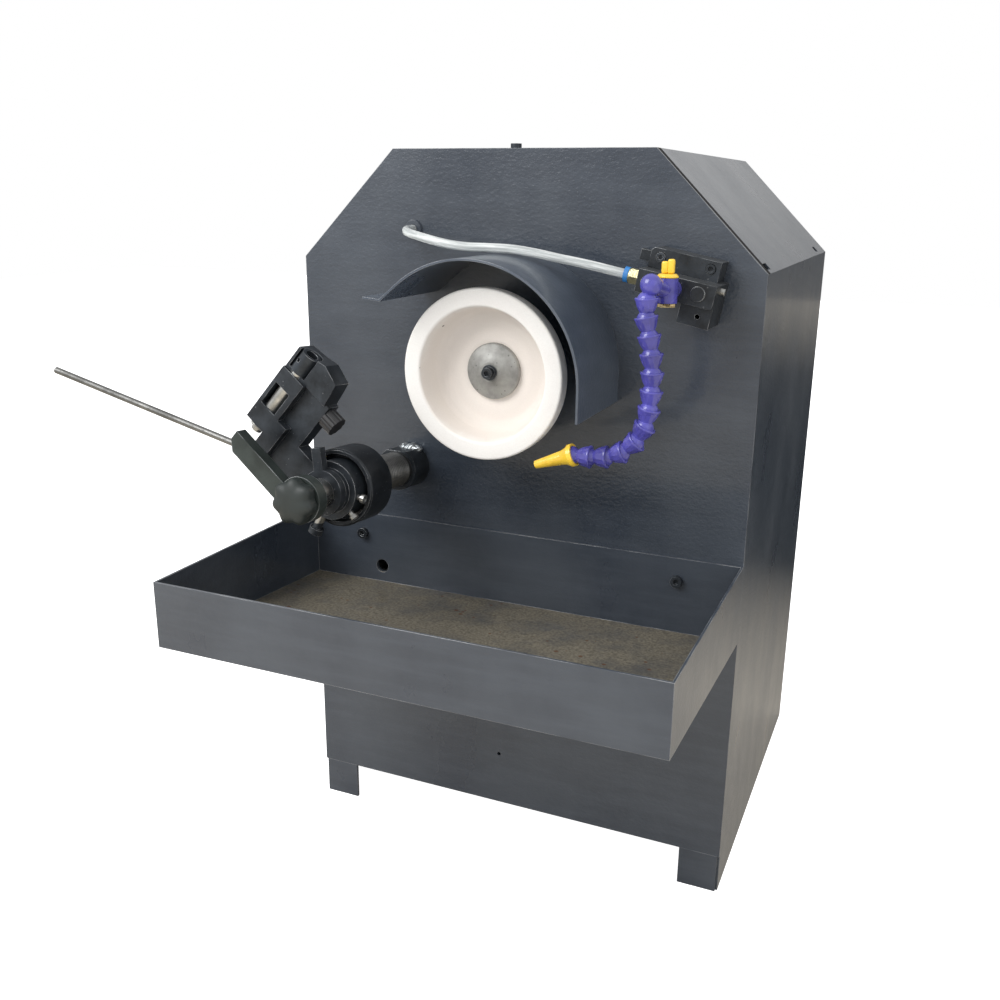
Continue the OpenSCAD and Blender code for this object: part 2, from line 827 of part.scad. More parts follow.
module tap_handle() {
    disc_low = barrel_top + face_gap;
    disc_h = 3;
    lever_h = 11.5;
    ring_h = 3;
    ring_low = barrel_low - face_gap - ring_h;
    color("#f2b21c") translate([tap_x, front_y - tap_out, 0]) {
        translate([0, 0, ring_low]) cylinder(r = stem_r, h = disc_low - ring_low + eps);
        translate([0, 0, disc_low]) cylinder(r = 8.6, h = disc_h);
        translate([-5, -2.5, disc_low + disc_h - eps]) cube([10, 5, lever_h]);
        translate([0, 0, ring_low]) cylinder(r = 7, h = ring_h);
    }
}

// Direction of each segment at rest, in degrees from the horizontal.
seg_heading = [-88, -78, -80, -85, -90, -95, -103, -119, -139, -159, -174, -179];
nozzle_heading = -160;

// Start of segment i: the tap's outlet plus all the segments before it.
function seg_start(i) = i == 0 ? hose_start :
    seg_start(i - 1) + seg_pitch * [cos(seg_heading[i - 1]), sin(seg_heading[i - 1])];

// Places a piece whose axis, z, runs along a segment.
module on_hose(at, heading) {
    on_face(at[0], at[1], hose_out) rotate([0, 0, heading]) rotate([0, 90, 0]) children();
}

socket_r = ball_r + ball_gap;
mouth = -2.8;

module hose_segment(i) {
    bell_r = socket_r + socket_wall;
    color("#4a3fa0") on_hose(seg_start(i), seg_heading[i]) difference() {
        union() {
            turned([
                [0, mouth], [bell_r - 0.2, mouth], [bell_r, mouth + 1.2], [bell_r - 0.3, 1.2],
                [bell_r - 1.4, 4.6], [neck_r + 0.5, 8.2], [neck_r, 9.4], [0, 9.4]
            ]);
            translate([0, 0, seg_pitch]) sphere(r = ball_r);
        }
        sphere(r = socket_r);
        translate([0, 0, mouth - ball_d]) cylinder(r = socket_r * cos(20), h = ball_d + 0.2);
        translate([0, 0, -1]) cylinder(r = flow_r, h = seg_pitch + ball_d);
        translate([0, 0, seg_pitch + 5]) cylinder(r = ball_d, h = ball_d);
    }
}

module nozzle() {
    bell_r = socket_r + socket_wall;
    tip_r = 3.4;
    color("#f2b21c") on_hose(seg_start(len(seg_heading)), nozzle_heading) difference() {
        turned([
            [0, mouth], [bell_r, mouth], [bell_r, 1], [socket_r + 0.6, 2], [socket_r - 1, 5],
            [socket_r - 2, 8.5], [tip_r, nozzle_len], [0, nozzle_len]
        ]);
        sphere(r = socket_r);
        translate([0, 0, mouth - ball_d]) cylinder(r = socket_r * cos(20), h = ball_d + 0.2);
        translate([0, 0, -1]) cylinder(r = tip_r - 1.2, h = nozzle_len + 2);
    }
}

// ---- Tool arm ----

// Places a piece on the arm's shaft. Along the shaft is z; x runs along the
// bent bracket's foot at rest, towards the lower right, and y up its upright.
module on_arm(s = 0) {
    on_face(-arm_x, arm_z) rotate([-arm_tilt, 0, 0]) rotate([0, 0, -arm_rest])
        translate([0, 0, s]) children();
}

// Cuts away what lies behind a plane at the given distance from the panel.
module behind_face(out) {
    on_face(-arm_x, arm_z, out) translate([-100, -100, -200]) cube([200, 200, 200]);
}

sleeve_r = sleeve_d / 2;
arm_shaft_r = arm_shaft_d / 2;
collar_end = collar_out + collar_w;
recess_depth = 12;
sleeve_end = collar_end - recess_depth + 2;
washer_s = collar_end - recess_depth + face_gap;
washer_t = 1.5;
hub_s = washer_s + washer_t + face_gap;
hub_end = 150;
bracket_s = 139;
stop_ring_s = bracket_s + bracket_t + face_gap;
stop_ring_t = 8;
bar_s = 185;
bar_t = 12;
knob_s = bar_s + bar_t + face_gap;
knob_t = 14;
stud_r = 8;

module arm_boss() {
    nut_in = 22;
    color(black) {
        difference() {
            on_arm(-10) cylinder(r = boss_d / 2, h = boss_len + 10);
            on_arm(-20) cylinder(r = sleeve_r + run_gap, h = boss_len + 40);
            behind_face(0);
            on_face(-arm_x, arm_z) rotate([-arm_tilt, 0, 0])
                translate([-40, boss_d / 2 - 3, -20]) cube([80, 20, boss_len + 40]);
        }
        difference() {
            on_arm(-nut_in) cylinder(r = sleeve_r + 8, h = nut_in, $fn = 6);
            on_arm(-nut_in - 1) cylinder(r = sleeve_r + run_gap, h = nut_in + 2);
            on_face(-arm_x, arm_z, -panel_t) translate([-60, -60, 0]) cube([120, 120, 60]);
        }
    }
}

module threaded_sleeve() {
    color("#6d6a66") on_arm(-26) ring(sleeve_r, arm_shaft_r + run_gap, sleeve_end + 26);
}

module thrust_washer() {
    color("#8f9496") on_arm(washer_s) ring(hub_d / 2, sleeve_r + face_gap, washer_t);
}

module feed_collar() {
    r = collar_d / 2;
    web = collar_w - recess_depth;
    color(black) on_arm(collar_out) turned([
        [sleeve_r + run_gap, 0], [r - 1.5, 0], [r, 1.5], [r, collar_w - 1.5],
        [r - 1.5, collar_w], [hub_d / 2 + 4.5, collar_w], [hub_d / 2 + 4.5, web],
        [sleeve_r + run_gap, web]
    ]);
}

module pivot_shaft() {
    tail = 22;
    color("#8e8e88") on_arm() {
        translate([0, 0, -tail]) cylinder(r = arm_shaft_r, h = bar_s + tail);
        translate([0, 0, bar_s - eps]) cylinder(r = stud_r, h = bar_t + knob_t - 3);
    }
}

foot_top = 9;
foot_low = -23;
upright_w = 16;
groove_x = -(bracket_reach + 11);
block_left = -(bracket_reach + tool_block_w);
thumb_y = 46;
thumb_s = bracket_s + bracket_t / 2;
thumb_r = 4;

module swing_bracket() {
    color(black) difference() {
        union() {
            on_arm(hub_s) cylinder(r = hub_d / 2, h = hub_end - hub_s);
            on_arm(bracket_s) linear_extrude(bracket_t) polygon([
                [0, foot_low], [-bracket_reach, foot_low], [-bracket_reach, 16],
                [groove_x, 16], [groove_x, upright_h], [-bracket_reach + upright_w, upright_h],
                [-bracket_reach + upright_w, foot_top], [0, foot_top]
            ]);
            on_arm(bracket_s) cylinder(r = hub_d / 2 - 6, h = bracket_t);
        }
        on_arm(hub_s - 1) cylinder(r = arm_shaft_r + run_gap, h = 60);
        on_arm(thumb_s) translate([groove_x + 1, thumb_y, 0]) rotate([0, 90, 0])
            cylinder(r = thumb_r + run_gap, h = 60);
        for (screw = hub_screws) {
            on_arm(screw[1]) rotate([0, 0, screw[0]]) translate([arm_shaft_r + 2, 0, 0])
                rotate([0, 90, 0]) cylinder(r = screw[2] + run_gap, h = 40);
        }
    }
}

// Radial screws in the hub: [angle, place along the shaft, shank radius].
hub_screws = [[31, 144, 2.5], [-6, 144, 2.5], [-74, 144, 4]];
hub_screw_len = 11;

module arm_screws() {
    for (screw = hub_screws) {
        color("#b9bdbd") on_arm(screw[1]) rotate([0, 0, screw[0]])
            translate([hub_d / 2 + (screw[2] > 3 ? 14 : 3), 0, 0]) rotate([0, 90, 0])
                socket_screw(screw[2], hub_screw_len + (screw[2] > 3 ? 11 : 0),
                    screw[2] * 1.6, screw[2] * 1.4);
    }
}

spindle_x = block_left + 12;
block_front = bracket_s + tool_block_d;
spindle_s = block_front - 7.5;
spindle_rod_r = 6.5;
block_end = -3;
head_r = socket_bore / 2 + 3;
head_low = 60.5;
head_top = 80;
window_low = 17;
window_top = 41;
window_half = 8.5;

// Places a piece on the tool spindle, whose axis, z, runs up the upright.
module on_spindle(y) {
    on_arm(spindle_s) translate([spindle_x, y, 0]) rotate([-90, 0, 0]) children();
}

module tool_block() {
    color(black) difference() {
        on_arm(bracket_s) linear_extrude(tool_block_d) polygon([
            [block_left, block_end], [spindle_x + 9, block_end], [spindle_x + 9, foot_low + 4],
            [-bracket_reach, foot_low - 2], [-bracket_reach, 16], [groove_x, 16],
            [groove_x, upright_h],
            [block_left, upright_h]
        ]);
        on_spindle(-30) cylinder(r = spindle_rod_r + run_gap, h = 120);
        on_arm(spindle_s - window_half) translate([spindle_x - window_half, window_low, 0])
            cube([2 * window_half, window_top - window_low, 40]);
    }
}

module block_cap() {
    right = -bracket_reach + upright_w - 3;
    top = upright_h + 27;
    color(black) difference() {
        on_arm(bracket_s) linear_extrude(tool_block_d - 3) polygon([
            [block_left, upright_h], [block_left, top - 5], [block_left + 16, top - 3],
            [block_left + 29, top], [right - 3, top - 5], [right, upright_h]
        ]);
        on_spindle(head_low - 0.5) cylinder(r = head_r + 1, h = 60);
        on_spindle(-30) cylinder(r = spindle_rod_r + run_gap, h = 120);
        on_arm(spindle_s) translate([spindle_x - head_r - 1, head_low - 0.5, 0])
            cube([2 * head_r + 2, 60, 40]);
    }
}

module tool_spindle() {
    grub_r = 2;
    end_r = 8;
    end_t = 2;
    key_head_r = 5;
    key_head_h = 4.5;
    low = block_end - face_gap - end_t;
    color("#a9adad") difference() {
        union() {
            on_spindle(low) cylinder(r = spindle_rod_r, h = head_low - low + eps);
            on_spindle(low) cylinder(r = end_r, h = end_t);
            on_spindle(low - key_head_h) cylinder(r = key_head_r, h = key_head_h + eps);
            on_spindle(head_low) cylinder(r = head_r, h = head_top - head_low);
        }
        on_spindle(head_top - socket_depth) cylinder(r = socket_bore / 2, h = 40);
        on_spindle(head_top - 9) rotate([0, 90, -120]) cylinder(r = grub_r, h = 20);
    }
}

module clamp_thumbscrew() {
    face_x = -bracket_reach + upright_w;
    knob_r = 9.5;
    knob_len = 13;
    ribs = 10;
    color(black) on_arm(thumb_s) translate([face_x, thumb_y, 0]) rotate([0, 90, 0]) {
        translate([0, 0, -24]) cylinder(r = thumb_r, h = 25);
        translate([0, 0, face_gap]) difference() {
            cylinder(r = knob_r, h = knob_len);
            for (i = [0:ribs - 1]) {
                rotate([0, 0, i * 360 / ribs]) translate([knob_r + 0.6, 0, -1])
                    cylinder(r = 1.6, h = knob_len + 2);
            }
        }
    }
}

module stop_ring() {
    ring_r = 20;
    lug_w = 9;
    lug_r = 39;
    lug_angle = 139;
    lug_in = arm_shaft_r + 2;
    color(black) on_arm(stop_ring_s) linear_extrude(stop_ring_t) difference() {
        union() {
            circle(r = ring_r);
            rotate(lug_angle) translate([lug_in, -lug_w / 2]) square([lug_r - lug_in, lug_w]);
        }
        circle(r = arm_shaft_r + run_gap);
    }
}

// The lever rod leaves the bar's left end, below the horizontal of the arm.
bar_low = -17;
bar_left = -81;
rod_angle = 206.5;
rod_seat = [-67, -8];
rod_inside = 16;

module on_rod() {
    on_arm(bar_s + bar_t / 2) translate([rod_seat[0], rod_seat[1], 0])
        rotate([0, 0, rod_angle]) rotate([0, 90, 0]) children();
}

module arm_bar() {
    eye_r = 20;
    corner = 8;
    color("#48524d") difference() {
        on_arm(bar_s) linear_extrude(bar_t) union() {
            circle(r = eye_r);
            polygon([
                [0, 0], [bar_left, 0], [bar_left, bar_low + corner],
                [bar_left + corner, bar_low], [0, bar_low]
            ]);
        }
        on_arm(bar_s - 1) cylinder(r = stud_r + run_gap, h = bar_t + 2);
        on_rod() cylinder(r = rod_d / 2 + run_gap, h = 60);
    }
}

module lever_rod() {
    color("#8b8f92") on_rod() cylinder(r = rod_d / 2, h = rod_inside + rod_len);
}

module star_knob() {
    lobes = 7;
    core_r = knob_d / 2 - 2.6;
    lobe_r = 6.5;
    color("#3e4a46") on_arm(knob_s) difference() {
        linear_extrude(knob_t) union() {
            circle(r = core_r);
            for (i = [0:lobes - 1]) {
                rotate(i * 360 / lobes + 27.1) translate([knob_d / 2 - lobe_r, 0])
                    circle(r = lobe_r);
            }
        }
        translate([0, 0, -1]) cylinder(r = stud_r + run_gap, h = knob_t - 2);
    }
}

// ---- Switch box on the left-hand side ----

switch_w = 70;
switch_h = 110;
button_r = 11;
button_spread = 27;
button_proud = button_travel + 3;
box_wall = 3;

// Places a piece on the cabinet's left side: z out of the side.
module on_left(y, z, out = 0) {
    translate([-cab_w / 2 - out, front_y + y, z]) rotate([0, -90, 0]) children();
}

module switch_box() {
    color(black) {
        on_left(switch_y, switch_z) difference() {
            translate([-switch_h / 2, -switch_w / 2, 0]) cube([switch_h, switch_w, switch_out]);
            translate([-switch_h / 2 + box_wall, -switch_w / 2 + box_wall, -1])
                cube([switch_h - 2 * box_wall, switch_w - 2 * box_wall, switch_out - box_wall + 1]);
            for (side = [-1, 1]) {
                translate([side * button_spread, 0, 0])
                    cylinder(r = button_r + face_gap, h = switch_out + 1);
            }
            translate([-switch_h / 2 - 1, 0, switch_out / 2]) rotate([0, 90, 0])
                cylinder(r = 8 + run_gap, h = box_wall + 2);
        }
        on_left(switch_y, switch_z, switch_out / 2) translate([-switch_h / 2 - 12, 0, 0])
            rotate([0, 90, 0]) turned([
                [4, 0], [7.5, 0], [10, 4], [10, 12], [8, 12], [8, 18], [4, 18]
            ]);
    }
}

module push_button(side) {
    on_left(switch_y, switch_z + side * button_spread, switch_out) {
        translate([0, 0, -box_wall - eps]) cylinder(r = button_r, h = box_wall + button_proud);
        translate([0, 0, -box_wall - 3]) cylinder(r = button_r + 2.5, h = 3);
    }
}

module start_button() {
    color("#2f9b4e") push_button(1);
}

module stop_button() {
    color("#c4342e") push_button(-1);
}

front_panel();
cabinet_shell();
rear_cover();
cabinet_screws();
base_frame();
inner_shelves();
drip_tray();
wheel_guard();
motor_body();
motor_covers();
motor_bearings();
rotor_shaft();
back_flange();
grinding_wheel();
front_flange();
clamp_screw();
coolant_tank();
pump_body();
riser_pipe();
drain_pipe();
panel_grommet();
supply_hose();
push_fitting();
release_collar();
manifold_bar();
manifold_block();
manifold_screws();
tap_body();
tap_handle();
hose_segment(0);  // hose_segment_01
hose_segment(1);  // hose_segment_02
hose_segment(2);  // hose_segment_03
hose_segment(3);  // hose_segment_04
hose_segment(4);  // hose_segment_05
hose_segment(5);  // hose_segment_06
hose_segment(6);  // hose_segment_07
hose_segment(7);  // hose_segment_08
hose_segment(8);  // hose_segment_09
hose_segment(9);  // hose_segment_10
hose_segment(10);  // hose_segment_11
hose_segment(11);  // hose_segment_12
nozzle();
arm_boss();
threaded_sleeve();
thrust_washer();
feed_collar();
pivot_shaft();
swing_bracket();
tool_block();
block_cap();
arm_screws();
tool_spindle();
clamp_thumbscrew();
stop_ring();
arm_bar();
lever_rod();
star_knob();
switch_box();
start_button();
stop_button();
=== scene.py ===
import math

import bmesh
import bpy
from mathutils import Matrix, Vector, noise


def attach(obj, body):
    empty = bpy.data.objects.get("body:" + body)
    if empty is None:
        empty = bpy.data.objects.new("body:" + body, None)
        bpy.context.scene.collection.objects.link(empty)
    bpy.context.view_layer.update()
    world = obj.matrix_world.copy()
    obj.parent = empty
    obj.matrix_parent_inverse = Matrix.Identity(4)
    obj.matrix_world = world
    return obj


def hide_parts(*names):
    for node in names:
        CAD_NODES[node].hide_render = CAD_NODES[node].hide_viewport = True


bl_info = {
    "name": "Wet grinding sharpener",
    "version": (1, 0, 0),
    "blender": (4, 5, 0),
    "location": "View3D > Sidebar > Sharpener",
    "description": "Finishes and fine pieces of a wet tool sharpener",
    "category": "Object",
}

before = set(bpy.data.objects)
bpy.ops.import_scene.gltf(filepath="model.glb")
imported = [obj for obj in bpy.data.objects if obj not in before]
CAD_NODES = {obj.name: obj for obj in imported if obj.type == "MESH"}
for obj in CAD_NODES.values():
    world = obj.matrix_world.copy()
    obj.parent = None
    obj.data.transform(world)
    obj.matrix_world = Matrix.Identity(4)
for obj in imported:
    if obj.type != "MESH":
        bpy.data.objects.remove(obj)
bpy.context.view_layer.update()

MM = 0.001
PANEL_Y = -200.0
SPINDLE_Z = 510.0
SPINDLE_AT = (0.0, 0.0, SPINDLE_Z * MM)

# ---- Places on the machine, in millimetres ----


def placed(origin, x_axis, y_axis, z_axis):
    """A matrix that takes millimetres on three axes to the part's metres."""
    rows = [list(row) + [o] for row, o in zip(zip(x_axis, y_axis, z_axis), origin)]
    return Matrix.Scale(MM, 4) @ Matrix(rows + [[0, 0, 0, 1]])


def on_panel(x, z, out=0.0, tilt=0.0):
    """x to the right, y up and z out of the front panel; tilt turns it clockwise."""
    c, s = math.cos(math.radians(tilt)), math.sin(math.radians(tilt))
    return placed((x, PANEL_Y - out, z), (c, 0, -s), (s, 0, c), (0, -1, 0))


ARM_X, ARM_Z, ARM_TILT, ARM_REST = -111.0, 400.0, 4.5, 40.0


def on_arm(v=0.0, u=0.0, s=0.0):
    """x along the bracket's foot, y up its upright and z along the arm's shaft."""
    tilt, rest = math.radians(ARM_TILT), math.radians(ARM_REST)
    side, up = Vector((1, 0, 0)), Vector((0, math.sin(tilt), math.cos(tilt)))
    along = Vector((0, -math.cos(tilt), math.sin(tilt)))
    foot = math.cos(rest) * side - math.sin(rest) * up
    upright = math.sin(rest) * side + math.cos(rest) * up
    origin = Vector((ARM_X, PANEL_Y, ARM_Z)) + v * foot + u * upright + s * along
    return placed(origin, foot, upright, along)


# ---- Sizes and colours that a user may change ----


def length_mm(name, default, description):
    return bpy.props.FloatProperty(name=name, default=default * MM, description=description,
                                   min=0.0, subtype="DISTANCE", unit="LENGTH")


def colour(name, default, description):
    return bpy.props.FloatVectorProperty(name=name, default=default, size=3, min=0.0, max=1.0,
                                         subtype="COLOR", description=description)


class SharpenerSizes(bpy.types.PropertyGroup):
    """Sizes of the fine pieces."""
    thread_pitch: length_mm("Thread pitch", 3.0, "Distance between the grooves of the sleeve")
    thread_depth: length_mm("Thread depth", 0.7, "Depth of the grooves of the sleeve")
    rim_round: length_mm("Wheel rim rounding", 1.2, "Rounding of the cup wheel's rim")
    weld_length: length_mm("Weld length", 26.0, "Length of the weld on the arm's boss")
    knob_lobe: length_mm("Knob lobes", 1.3, "Half the depth of the hollows of the star knob")
    hose_diameter: length_mm("Hose diameter", 8.0, "Outer diameter of the clear hose")
    peel: length_mm("Paint texture", 2.4, "Width of the dimples in the enamel")


class SharpenerColours(bpy.types.PropertyGroup):
    """Colours of the finishes."""
    slate: colour("Slate enamel", (0.029, 0.038, 0.054), "Cabinet, tray and guard")
    slate_pale: colour("Slate enamel, pale", (0.056, 0.067, 0.084), "Rubbed parts of the enamel")
    worn: colour("Worn edges", (0.34, 0.35, 0.36), "Bare metal at rubbed edges")
    grime: colour("Tray grime", (0.17, 0.15, 0.11), "Dried grindings in the tray")
    black: colour("Blackened steel", (0.0160, 0.0190, 0.0230), "Bracket, block and collar")
    steel: colour("Bare steel", (0.40, 0.40, 0.385), "Flange, spindle and shaft")
    bar: colour("Arm bar", (0.034, 0.043, 0.040), "Bar at the arm's end")
    abrasive: colour("Abrasive", (0.92, 0.90, 0.86), "Cup wheel's rim")
    bowl: colour("Abrasive, bowl", (0.82, 0.76, 0.70), "Cup wheel's bowl")
    violet: colour("Violet plastic", (0.070, 0.064, 0.33), "Tap and hose segments")
    yellow: colour("Yellow plastic", (0.92, 0.58, 0.045), "Tap handle and nozzle")
    blue: colour("Blue plastic", (0.03, 0.19, 0.50), "Release collar")
    brass: colour("Pale brass", (0.80, 0.75, 0.46), "Push-in fitting")
    knob: colour("Knob plastic", (0.016, 0.022, 0.021), "Star knob")


def sizes():
    return bpy.context.scene.sharpener_sizes


def colours():
    return bpy.context.scene.sharpener_colours


# ---- Node helpers ----


def put(tree, kind, inputs=None, **settings):
    """Adds a node; an input may be a value or another node's socket."""
    node = tree.nodes.new(kind)
    for key, value in settings.items():
        setattr(node, key, value)
    for key, value in (inputs or {}).items():
        if isinstance(value, bpy.types.NodeSocket):
            tree.links.new(value, node.inputs[key])
        else:
            node.inputs[key].default_value = value
    return node


def calc(tree, operation, *values, clamp=False):
    """The value of a sum on up to three values."""
    return put(tree, "ShaderNodeMath", dict(enumerate(values)), operation=operation,
               use_clamp=clamp).outputs[0]


def combine(tree, operation, a, b):
    """The node of a sum on two vectors."""
    return put(tree, "ShaderNodeVectorMath", {0: a, 1: b}, operation=operation)


def place_in(tree):
    """Where a point lies on the part, in metres."""
    return put(tree, "ShaderNodeTexCoord").outputs["Object"]


def axes_of(tree, vector):
    """The X, Y and Z of a vector, by name."""
    return put(tree, "ShaderNodeSeparateXYZ", {"Vector": vector}).outputs


def upward(tree):
    """How far a surface faces up: 1 on a level top, 0 on an upright wall."""
    return axes_of(tree, put(tree, "ShaderNodeNewGeometry").outputs["Normal"])["Z"]


def from_axis(tree, centre):
    """Distance in metres from a line along Y through the centre."""
    moved = combine(tree, "SUBTRACT", place_in(tree), centre)
    flat = combine(tree, "MULTIPLY", moved.outputs[0], (1.0, 0.0, 1.0))
    return put(tree, "ShaderNodeVectorMath", {0: flat.outputs[0]},
               operation="LENGTH").outputs["Value"]


def fit_range(tree, value, low, high, to_low=0.0, to_high=1.0):
    """Maps low..high to to_low..to_high, held at both ends."""
    node = put(tree, "ShaderNodeMapRange", {"Value": value, "From Min": low, "From Max": high,
                                            "To Min": to_low, "To Max": to_high})
    return node.outputs["Result"]


def blend(tree, factor, a, b):
    """A colour between a and b."""
    node = put(tree, "ShaderNodeMix", {"Factor": factor}, data_type="RGBA")
    for key, value in (("A", a), ("B", b)):
        socket = next(s for s in node.inputs if s.name == key and s.type == "RGBA")
        if isinstance(value, bpy.types.NodeSocket):
            tree.links.new(value, socket)
        else:
            socket.default_value = value
    return next(s for s in node.outputs if s.type == "RGBA")


def rgba(value, gain=1.0):
    return [min(1.0, c * gain) for c in value[:3]] + [1.0]


def new_group(name, inputs, outputs):
    """An empty shader group with the named sockets, its tree, input and output nodes."""
    tree = bpy.data.node_groups.new(name, "ShaderNodeTree")
    for key, (kind, default) in inputs.items():
        socket = tree.interface.new_socket(name=key, in_out="INPUT", socket_type=kind)
        socket.default_value = default
    for key, kind in outputs.items():
        tree.interface.new_socket(name=key, in_out="OUTPUT", socket_type=kind)
    return tree, tree.nodes.new("NodeGroupInput"), tree.nodes.new("NodeGroupOutput")


FLOAT, VECTOR = "NodeSocketFloat", "NodeSocketVector"


def edge_group():
    """Edge wear and painted edge highlight: a mask of the rubbed edges, and the normal of softly
    rounded ones.
    """
    tree, given, result = new_group(
        "Edge Wear And Highlight",
        {"Radius": (FLOAT, 0.0006), "Breakup": (FLOAT, 60.0), "Amount": (FLOAT, 1.0)},
        {"Mask": FLOAT, "Normal": VECTOR})
    rounded = put(tree, "ShaderNodeBevel", {"Radius": given.outputs["Radius"]}, samples=6)
    flat = put(tree, "ShaderNodeNewGeometry")
    match = combine(tree, "DOT_PRODUCT", rounded.outputs[0], flat.outputs["Normal"])
    edge = fit_range(tree, match.outputs["Value"], 0.995, 0.90)
    patches = put(tree, "ShaderNodeTexNoise", {
        "Vector": place_in(tree), "Scale": given.outputs["Breakup"], "Detail": 4.0})
    wear_and_highlight = fit_range(tree, patches.outputs["Fac"], 0.40, 0.62)
    mask = calc(tree, "MULTIPLY", calc(tree, "MULTIPLY", edge, wear_and_highlight), given.outputs["Amount"],
                clamp=True)
    tree.links.new(mask, result.inputs["Mask"])
    tree.links.new(rounded.outputs[0], result.inputs["Normal"])
    return tree


def mottle_group():
    """Mottle: a soft, cloudy value between 0 and 1, stretched along one axis."""
    tree, given, result = new_group(
        "Mottle",
        {"Scale": (FLOAT, 12.0), "Stretch": (VECTOR, (1.0, 1.0, 1.0)), "Detail": (FLOAT, 5.0),
         "Low": (FLOAT, 0.35), "High": (FLOAT, 0.65)},
        {"Value": FLOAT})
    laid = combine(tree, "MULTIPLY", place_in(tree), given.outputs["Stretch"])
    cloud = put(tree, "ShaderNodeTexNoise", {
        "Vector": laid.outputs[0], "Scale": given.outputs["Scale"],
        "Detail": given.outputs["Detail"], "Roughness": 0.6})
    value = fit_range(tree, cloud.outputs["Fac"], given.outputs["Low"], given.outputs["High"])
    tree.links.new(value, result.inputs["Value"])
    return tree


def speck_group():
    """Specks: small separate dots, some larger than others."""
    tree, given, result = new_group(
        "Specks", {"Scale": (FLOAT, 200.0), "Share": (FLOAT, 0.2)}, {"Mask": FLOAT})
    cells = put(tree, "ShaderNodeTexVoronoi", {
        "Vector": place_in(tree), "Scale": given.outputs["Scale"]})
    pick = put(tree, "ShaderNodeSeparateColor", {"Color": cells.outputs["Color"]})
    chosen = calc(tree, "LESS_THAN", pick.outputs[0], given.outputs["Share"])
    width = calc(tree, "MULTIPLY_ADD", pick.outputs[1], 0.22, 0.08)
    dot = fit_range(tree, calc(tree, "SUBTRACT", width, cells.outputs["Distance"]), 0.0, 0.05)
    tree.links.new(calc(tree, "MULTIPLY", chosen, dot), result.inputs["Mask"])
    return tree


def turned_group():
    """Turned marks: fine rings round an axis that runs along the part's Y."""
    tree, given, result = new_group(
        "Turned Marks", {"Centre": (VECTOR, (0.0, 0.0, 0.0)), "Scale": (FLOAT, 2500.0)},
        {"Height": FLOAT})
    radius = from_axis(tree, given.outputs["Centre"])
    rings = put(tree, "ShaderNodeTexNoise", {
        "W": calc(tree, "MULTIPLY", radius, given.outputs["Scale"]),
        "Scale": 1.0, "Detail": 3.0}, noise_dimensions="1D")
    tree.links.new(rings.outputs["Fac"], result.inputs["Height"])
    return tree


GROUPS = {}


def effect(tree, name, **inputs):
    """Places one of the shared effects in a material, with its own values."""
    makers = {"Edge Wear And Highlight": edge_group, "Mottle": mottle_group, "Specks": speck_group,
              "Turned Marks": turned_group}
    if name not in GROUPS:
        GROUPS[name] = makers[name]()
    return put(tree, "ShaderNodeGroup", {k.replace("_", " "): v for k, v in inputs.items()},
               node_tree=GROUPS[name])


class Finish:
    """A material with its Principled shader and shared ways to fill it."""

    def __init__(self, name, roughness=0.5, metallic=0.0, coat=0.0, **sockets):
        self.material = bpy.data.materials.new(name)
        self.material.use_nodes = True
        self.tree = self.material.node_tree
        self.shader = self.tree.nodes["Principled BSDF"]
        self.set("Roughness", roughness)
        self.set("Metallic", metallic)
        if coat:
            self.set("Coat Weight", coat)
            self.set("Coat Roughness", 0.12)
        for key, value in sockets.items():
            self.set(key.replace("_", " "), value)

    def set(self, key, value):
        socket = self.shader.inputs[key]
        if isinstance(value, bpy.types.NodeSocket):
            self.tree.links.new(value, socket)
        elif socket.type == "RGBA":
            socket.default_value = rgba(value)
        else:
            socket.default_value = value

    def relief(self, height, strength, distance, normal=None):
        inputs = {"Height": height, "Strength": strength, "Distance": distance}
        if normal is not None:
            inputs["Normal"] = normal
        bump = put(self.tree, "ShaderNodeBump", inputs)
        self.set("Normal", bump.outputs["Normal"])


def between(tree, value, low, high, soft):
    """1 where value lies between low and high, with soft ends."""
    rise = fit_range(tree, value, low - soft, low)
    fall = fit_range(tree, value, high, high + soft, 1.0, 0.0)
    return calc(tree, "MULTIPLY", rise, fall)


ENAMEL_COAT = 0.35
DIMPLES_PER_CLOUD = 1.6
# The joint between the front panel and the folded shell, from front to back in metres; it is
# painted as a dark band, partly the joint itself and partly painted shade cast by the panel's
# proud edge.
SEAM_FRONT, SEAM_BACK, SEAM_SOFT = -0.1968, -0.1870, 0.0006
# Grime fades in between these heights, in metres.
GRIME_TOP, GRIME_FULL = 0.312, 0.296
SEAM_GAP_SHADE = (0.004, 0.004, 0.005, 1.0)
RUST = (0.10, 0.045, 0.02, 1.0)


